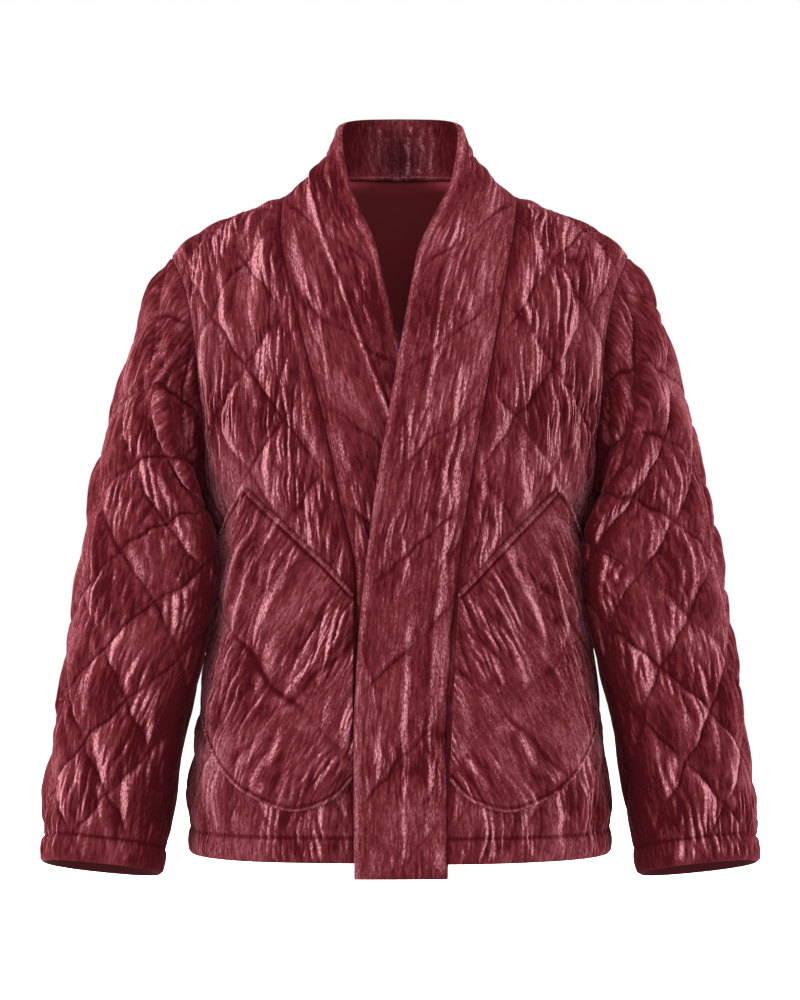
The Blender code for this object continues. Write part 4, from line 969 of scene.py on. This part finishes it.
BAND_LEFT_FOLDS = (
    BandFold(0.70, 26.0, 0.62, 19.0, 0.0034, 0.0016),
    BandFold(0.35, 24.0, 0.30, 12.0, 0.0040, 0.0016),
    BandFold(0.22, 18.0, 0.20, 4.0, 0.0032, 0.0014),
    BandFold(0.50, 12.0, 0.48, 2.0, 0.0036, 0.0013),
)
BAND_RIGHT_FOLDS = (
    BandFold(0.46, 29.5, 0.52, 25.0, 0.0028, 0.0020),
    BandFold(0.51, 25.6, 0.66, 20.0, 0.0025, 0.0019),
    BandFold(0.65, 20.5, 0.80, 17.0, 0.0025, 0.0017),
    BandFold(0.20, 28.0, 0.26, 22.0, 0.0050, 0.0007),
)


def band_rows(wrap):
    """Rows of the band from below the hem to the centre back: seam, free edge, how far it stands, and number.

    On the front the free edge lies one band width square off the seam, on the body. From the collar's start it
    lifts off the body, and round the neck it follows the collar's edge.
    """
    z = NECK_Z - (NECK_Z - HEM_Z + BAND_DROP) * np.linspace(1, 0, BAND_SAMPLES) ** BAND_BUNCHING

    def seam_points(z):
        points = body_from_xz(FRONT, band_seam_x(z, wrap), z, wrap)
        points[-1] = (NECK_X, 0, NECK_Z)
        return points

    run = run_along(seam_points(z))
    z = np.interp(np.linspace(0, run[-1], BAND_FRONT_ROWS + 1), run, z)
    front_seam = seam_points(z)
    neck = body_from_xz(BACK, *xz_from_place(BACK, even_places(BACK, neck_places(), BAND_NECK_ROWS)))
    along = unit(np.gradient(front_seam[:, [0, 2]], axis=0))
    edge_flat = front_seam[:, [0, 2]] + BAND_WIDTH * np.stack([-along[:, 1], along[:, 0]], axis=1)
    edge_front = body_from_xz(FRONT, edge_flat[:, 0], edge_flat[:, 1], wrap)
    share = np.linspace(0, 1, BAND_NECK_ROWS + 1)
    shares = column(COLLAR_EDGE, "share")
    edge_neck = np.stack([curve(shares, column(COLLAR_EDGE, axis), share) for axis in "xyz"], axis=1)
    to_collar = ease(COLLAR_START_Z, NECK_Z, front_seam[:, 2])[:, None]
    above = np.clip(front_seam[:, 2:] - NECK_Z, COLLAR_START_Z, 0)
    leading = edge_neck[0] + above * np.array(COLLAR_LEAN)
    seam = np.concatenate([front_seam, neck[1:]])
    edge = np.concatenate([edge_front * (1 - to_collar) + leading * to_collar, edge_neck[1:]])
    stands = np.concatenate([to_collar[:, 0], np.ones(BAND_NECK_ROWS)])[:, None, None]
    heights = np.concatenate([z, NECK_Z + share[1:] * NECK_ROW_STEPS * BAND_ROW_HEIGHT])
    return seam, edge, stands, HEM_ROW + (heights - HEM_Z - HEM_DEPTH) / BAND_ROW_HEIGHT


def smooth_shoulder(grid, free=1.0):
    """Moves the rows near the shoulder, pass by pass, towards the middle of the rows before and after them."""
    from_shoulder = np.abs(np.arange(len(grid)) - BAND_FRONT_ROWS)
    soft = (1 - ease(0, SHOULDER_ROWS, from_shoulder))[1:-1, None, None] * free
    for _ in range(SHOULDER_PASSES):
        grid[1:-1] += SHOULDER_STEP * soft * (grid[2:] - 2 * grid[1:-1] + grid[:-2])


def band_base(seam, edge, stands, across, wrap):
    """Inside surface of the band: laid on the body up the front, and bulging a little where it stands."""
    straight = seam[:, None] + (edge - seam)[:, None] * across[None, :, None]
    laid = body_from_xz(FRONT, straight[..., 0], straight[..., 2], wrap)
    base = laid * (1 - stands) + straight * stands
    base[:, 0], base[:, -1] = seam, edge
    tangent = unit(np.gradient(base, axis=0))
    bulge = unit(np.cross(tangent, (edge - seam)[:, None] + 0 * tangent))
    base = base + bulge * (BAND_BULGE * 4 * across * (1 - across))[None, :, None] * stands
    smooth_shoulder(base, ease(0, SHOULDER_FREE, across)[None, :, None])
    base[-1, :, 0] = 0
    return base


def collar_inside(base, normals, edges, stands, cloth, ridges, seed):
    """Inside of the band, which shows in the collar, and its painted sheen and shade: crinkles, upright ridges and
    a sewn edge.
    """
    bottom, top, left, right = edges
    edge_away = np.minimum(np.minimum(left, right), bottom)
    hidden, painted_crease_shade = crush(cloth[..., 0], cloth[..., 1], seed + 50)
    hidden = COLLAR_CRUSH * np.maximum(hidden, 0) * ease(0, BAND_EDGE_CALM, np.minimum(edge_away, top))
    for ridge in ridges:
        wiggle = RIDGE_WIGGLE * noise(left / RIDGE_WIGGLE_LENGTH, top * 0 + ridge.away * RIDGE_APART, seed + 70)
        upright = bell(top - ridge.away + wiggle, ridge.width)
        hidden = hidden + ridge.height * upright * ease(0, RIDGE_END, right)
    sewn = bell(left - SEWN_EDGE, SEWN_WIDTH)
    seam_wall = SEWN_RISE * sewn + COLLAR_SEAM_WALL * bell(left, COLLAR_SEAM_WIDTH)
    hidden = hidden * ease(0, COLLAR_SEAM_CALM, left) + stands[..., 0] * seam_wall
    shine = painted_pile_sheen(base, -normals, hidden * ease(*SEAM_SHINE, left), 1) - COLLAR_CRUSH * painted_crease_shade
    # Paler along the sewn edge, painted shade towards the sides of the neck, and painted light at the centre back.
    shine = np.maximum(shine, COLLAR_LEAST_SHINE) + SEWN_SHINE * sewn - COLLAR_SHADE * ease(*COLLAR_DARK, top)
    shine = shine + CENTRE_SHINE * (1 - ease(0, CENTRE_CALM, top))
    inside = base - normals * hidden[..., None]
    inside[-1, :, 0] = 0
    return inside, shine


def band(name, node_name, wrap, seed, folds, ridges):
    """Half of the collar and front band: rows across the strip, from below the hem to the centre back."""
    seam, edge, stands, row = band_rows(wrap)
    across = np.linspace(0, 1, BAND_COLUMNS + 1)
    base = band_base(seam, edge, stands, across, wrap)
    row, cell = np.meshgrid(row, across * BAND_CELLS, indexing="ij")
    edges = bottom, top, left, right = edge_distance(base)
    run = run_along(base[:, BAND_COLUMNS // 2])
    cloth = np.stack(np.meshgrid(across * BAND_WIDTH, run, indexing="xy"), axis=-1)
    edge_away = np.minimum(np.minimum(left, right), bottom)
    u, w = (row + cell) / BAND_CELLS, (row - cell) / BAND_CELLS
    quilts = quilting(u, w, BAND_PUFF, seed, BAND_FAINT, BAND_FIRM)
    raised, shade, swell, within = (part * ease(0, SEAM_SOFTENING, edge_away) for part in quilts)
    placed = np.stack([cell / BAND_CELLS * BAND_WIDTH, row * BAND_ROW_HEIGHT], axis=-1)
    size = np.array([BAND_WIDTH, BAND_ROW_HEIGHT])
    lines = [((f.share, f.row) * size, (f.to_share, f.to_row) * size, f.width, f.height) for f in folds]
    crinkles, painted_crease_shade = crush(cloth[..., 0], cloth[..., 1], seed)
    crinkles = BAND_CRUSH * crinkles * at_least(CRUSH_AT_STITCH, within) + fold_height(placed, lines)
    crinkles = crinkles * ease(0, CENTRE_CALM, top)
    normals = outward(base, -1)
    smooth_shoulder(normals)
    normals = unit(normals)
    # Painted highlight along the rolled free edge, and painted shade in the creases.
    rolled = bell(right - EDGE_ROLL_WIDTH, EDGE_ROLL_WIDTH)
    shine = painted_pile_sheen(base, normals, crinkles + swell, -1) - painted_crease_shade + EDGE_SHINE * rolled
    shine = shine - (UNDER_SHADE if wrap == UNDER else 0)
    raised = raised + crinkles * ease(0, BAND_EDGE_CALM, edge_away) + EDGE_ROLL * rolled
    outside = base + normals * rounded_off(raised, edge_away, BAND_WALL)[..., None]
    outside[-1, :, 0] = 0
    inner_cloth = cloth[..., ::-1] + COLLAR_CLOTH_START
    inside, inside_shine = collar_inside(base, normals, edges, stands, inner_cloth, ridges, seed)
    piece = make_piece(name, node_name, outside, inside, -1, cloth, shine - shade, (velvet, velvet),
                       wrap == UNDER, inside_shine, inner_cloth)
    return piece, cloth


for side, wrap, seed, folds, ridges in (("left", OVER, 600, BAND_LEFT_FOLDS, COLLAR_LEFT_RIDGES),
                                        ("right", UNDER, 700, BAND_RIGHT_FOLDS, COLLAR_RIGHT_RIDGES)):
    piece, cloth = band(f"band_{side}_velvet", f"band_{side}", wrap, seed, folds, ridges)

# The patch pockets: large quilted patches with a slanted mouth and a round lower edge, sewn on
# flat along the round edge. The mouth is turned in and stitched, and the grain lies at a slant.
POCKET_WALL, POCKET_PUFF, POCKET_CLEARANCE = 0.0020, 0.0036, 0.0012
POCKET_GRAIN = math.radians(26)
POCKET_STEPS = 156
POCKET_DIAMOND, POCKET_FAINT, POCKET_FIRM = 0.150, 0.75, 1.0
POCKET_CRUSH_AT_STITCH, POCKET_EDGE_CALM = 0.5, (0.001, 0.008)
MOUTH_RIDGE, MOUTH_STITCH, ROUND_STITCH, ROUND_ROLL = 0.0030, 0.0055, 0.0042, 0.0016
POCKET_RIM_SHINE, POCKET_STITCH_SHADE = 0.35, 0.45
NEAR_BY = 0.002


def angle_from_girth(face, s, z):
    """Angle round the body's ring at a girth from the centre line, by Newton's steps."""
    angle = s / ring_sizes(face, z)[0]
    small = 1e-4
    for _ in range(8):
        rate = (girth(face, angle + small, z) - girth(face, angle - small, z)) / (2 * small)
        angle = np.clip(angle - (girth(face, angle, z) - s) / rate, 0, math.pi / 2)
    return angle


Pocket = namedtuple("Pocket", "side wrap seed quilt_x quilt_z rising")
POCKETS = (Pocket("left", OVER, 800, 0.0930, -0.476, False), Pocket("right", UNDER, 900, 0.0967, -0.465, True))
POCKET_FOLDS = (
    Fold(0.0870, -0.322, 0.1270, -0.416, 0.0060, 0.0040),
    Fold(0.1270, -0.329, 0.1450, -0.409, 0.0055, 0.0034),
    Fold(0.1330, -0.313, 0.1560, -0.396, 0.0055, 0.0030),
    Fold(0.0480, -0.379, 0.0710, -0.449, 0.0050, 0.0024),
    Fold(0.0650, -0.416, 0.0940, -0.457, 0.0045, 0.0024),
    Fold(0.1290, -0.430, 0.1440, -0.460, 0.0045, 0.0028),
    Fold(0.1000, -0.487, 0.1130, -0.526, 0.0050, 0.0024),
)


def pocket(name, node_name, wrap, seed, quilt, rising):
    """A patch pocket on the front's outside: a square grid rounded to a disc, and stretched to the outline."""
    outline = pocket_outline(wrap)
    centre = outline.mean(axis=0)
    polar = np.arctan2(*(outline - centre).T[::-1])
    order = np.argsort(polar)
    a, b = np.meshgrid(np.linspace(-1, 1, POCKET_STEPS + 1), np.linspace(-1, 1, POCKET_STEPS + 1))
    disc_x, disc_y = a * np.sqrt(1 - b * b / 2), b * np.sqrt(1 - a * a / 2)
    reach = np.interp(np.arctan2(disc_y, disc_x), polar[order], np.linalg.norm(outline - centre, axis=1)[order],
                      period=2 * math.pi)
    cloth = centre + np.stack([disc_x, disc_y], axis=-1) * reach[..., None]

    def laid(over, up):
        height = cloth[..., 1] + up
        places = np.stack([angle_from_girth(FRONT, cloth[..., 0] + over, height), height], axis=-1)
        return body_from_xz(FRONT, *xz_from_place(FRONT, places), wrap)

    sideways, upward = laid(NEAR_BY, 0) - laid(-NEAR_BY, 0), laid(0, NEAR_BY) - laid(0, -NEAR_BY)
    normals = unit(np.cross(sideways, upward))
    base = laid(0, 0) + normals * (QUILTED_WALL + POCKET_CLEARANCE)
    mouth = distance_to_line(cloth, pocket_line(POCKET_MOUTH, np.linspace(0, 1, MOUTH_STEPS), wrap))
    rounded = distance_to_line(cloth, pocket_line(POCKET_ROUND, np.linspace(0, 1, ROUND_STEPS), wrap))
    edge = np.minimum(mouth, rounded)
    cos, sin = math.cos(POCKET_GRAIN), math.sin(POCKET_GRAIN)
    grain = (cloth - outline[0]) @ np.array([[cos, sin], [-sin, cos]]).T
    origin = cloth_from_place(FRONT, place_from_xz(FRONT, *(np.array(value) for value in quilt)))
    over, up = ((cloth - origin) / POCKET_DIAMOND).transpose(2, 0, 1)
    lines = (over - up, over + up) if rising else (over + up, over - up)
    quilts = quilting(*lines, POCKET_PUFF, seed, POCKET_FAINT, POCKET_FIRM)
    raised, shade, swell, within = (part * ease(0, SEAM_SOFTENING, edge) for part in quilts)
    crinkles, painted_crease_shade = crush(grain[..., 0], grain[..., 1], seed)
    crinkles = crinkles * at_least(POCKET_CRUSH_AT_STITCH, within) + body_folds(FRONT, cloth, POCKET_FOLDS)
    # Painted highlights on the mouth's ridge and the round edge's roll, and painted shade along their stitches.
    rims = bell(mouth - MOUTH_RIDGE, STITCH_WIDTH) + bell(rounded - ROUND_ROLL, STITCH_WIDTH)
    shine = painted_pile_sheen(base, normals, crinkles + swell, 1) - painted_crease_shade + POCKET_RIM_SHINE * rims
    sewn = bell(mouth - MOUTH_STITCH, STITCH_WIDTH) + bell(rounded - ROUND_STITCH, STITCH_WIDTH)
    shade = shade + POCKET_STITCH_SHADE * sewn
    raised = raised + crinkles * ease(*POCKET_EDGE_CALM, edge) - STITCH_DEPTH * sewn
    raised = raised + ROUND_ROLL * bell(edge - ROUND_ROLL, ROUND_ROLL)
    outside = base + normals * rounded_off(raised, edge, POCKET_WALL)[..., None]
    inside = base[::INSIDE_STEP, ::INSIDE_STEP]
    piece = make_piece(name, node_name, outside, inside, 1, grain, shine - shade, (velvet, lining),
                       wrap == UNDER)
    return piece, cloth


for row in POCKETS:
    piece, cloth = pocket(f"pocket_{row.side}_velvet", f"pocket_{row.side}", row.wrap, row.seed,
                          (row.quilt_x, row.quilt_z), row.rising)

# The lining of the back: plain woven cloth hung inside the back and sewn in under the collar.
# Only its top shows, through the neck, and it lies smoothly on the back.
LINING_CLEARANCE, LINING_WALL = 0.0020, 0.0010
LINING_COLUMNS, LINING_ROWS = 120, 96
LINING_INSET, LINING_BOTTOM = 4, 6

lining_places = back_places(LINING_COLUMNS, LINING_ROWS)[LINING_BOTTOM:, LINING_INSET:-LINING_INSET]
lining_base = body_from_xz(BACK, *xz_from_place(BACK, lining_places))
lining_normals = outward(lining_base, -1)
lining_cloth = cloth_from_place(BACK, lining_places)
lining_outside = lining_base - lining_normals * LINING_CLEARANCE
lining_inside = lining_base - lining_normals * (LINING_CLEARANCE + LINING_WALL)
lining_shine = np.zeros(lining_places.shape[:2])
back_lining = make_piece("back_lining_cloth", "back_lining", lining_outside, lining_inside, -1, lining_cloth,
                         lining_shine, (lining, lining))

# The studio: a pale floor well below the jacket, a pale sky all round, and soft lights round it and
# above. The camera looks straight at the front, from the height of the jacket's middle.
FLOOR_Z, FLOOR_HALF, FLOOR_COLOUR = -0.86, 6, (0.95, 0.95, 0.95, 1)
LIGHTS_AIM_Z = -0.3
CAMERA_AWAY, CAMERA_Z, CAMERA_LENS = 3.2, -0.28365, 123.9

floor_mesh = bpy.data.meshes.new("floor")
floor_corners = [(x * FLOOR_HALF, y * FLOOR_HALF, FLOOR_Z) for x, y in ((-1, -1), (1, -1), (1, 1), (-1, 1))]
floor_mesh.from_pydata(floor_corners, [], [(0, 1, 2, 3)])
floor = bpy.data.objects.new("floor", floor_mesh)
bpy.context.collection.objects.link(floor)
floor_material = bpy.data.materials.new("floor")
floor_material.use_nodes = True
floor_shader = floor_material.node_tree.nodes["Principled BSDF"]
floor_shader.inputs["Base Color"].default_value = FLOOR_COLOUR
floor_shader.inputs["Roughness"].default_value = 0.9
floor_mesh.materials.append(floor_material)

world = bpy.data.worlds.new("studio")
world.use_nodes = True
world.node_tree.nodes["Background"].inputs["Color"].default_value = (1, 1, 1, 1)
world.node_tree.nodes["Background"].inputs["Strength"].default_value = 1.0
bpy.context.scene.world = world

StudioLight = namedtuple("StudioLight", "name x y z size power")
STUDIO_LIGHTS = (
    StudioLight("left", -2.8, -1.6, 0.7, 1.2, 400),
    StudioLight("right", 2.8, -1.6, 0.6, 1.2, 285),
    StudioLight("front", 0.2, -3.4, 0.5, 1.0, 34),
    StudioLight("top", 0.0, -0.6, 2.8, 1.2, 240),
    StudioLight("back_left", -2.4, 2.2, 0.8, 1.6, 200),
    StudioLight("back_right", 2.4, 2.2, 0.6, 1.6, 160),
)
for light in STUDIO_LIGHTS:
    lamp = bpy.data.lights.new(light.name, "AREA")
    lamp.size = light.size
    lamp.energy = light.power
    lamp_object = bpy.data.objects.new(light.name, lamp)
    lamp_object.location = (light.x, light.y, light.z)
    aim = np.array([0, 0, LIGHTS_AIM_Z]) - np.array([light.x, light.y, light.z])
    tilt = math.atan2(math.hypot(aim[0], aim[1]), -aim[2])
    lamp_object.rotation_euler = (tilt, 0, math.atan2(-aim[0], aim[1]))
    bpy.context.collection.objects.link(lamp_object)

camera_data = bpy.data.cameras.new("camera")
camera_data.lens = CAMERA_LENS
camera_data.sensor_width = 36
camera = bpy.data.objects.new("camera", camera_data)
camera.location = (0, -CAMERA_AWAY, CAMERA_Z)
camera.rotation_euler = (math.pi / 2, 0, 0)
bpy.context.collection.objects.link(camera)
bpy.context.scene.camera = camera
bpy.context.scene.view_settings.view_transform = "Standard"
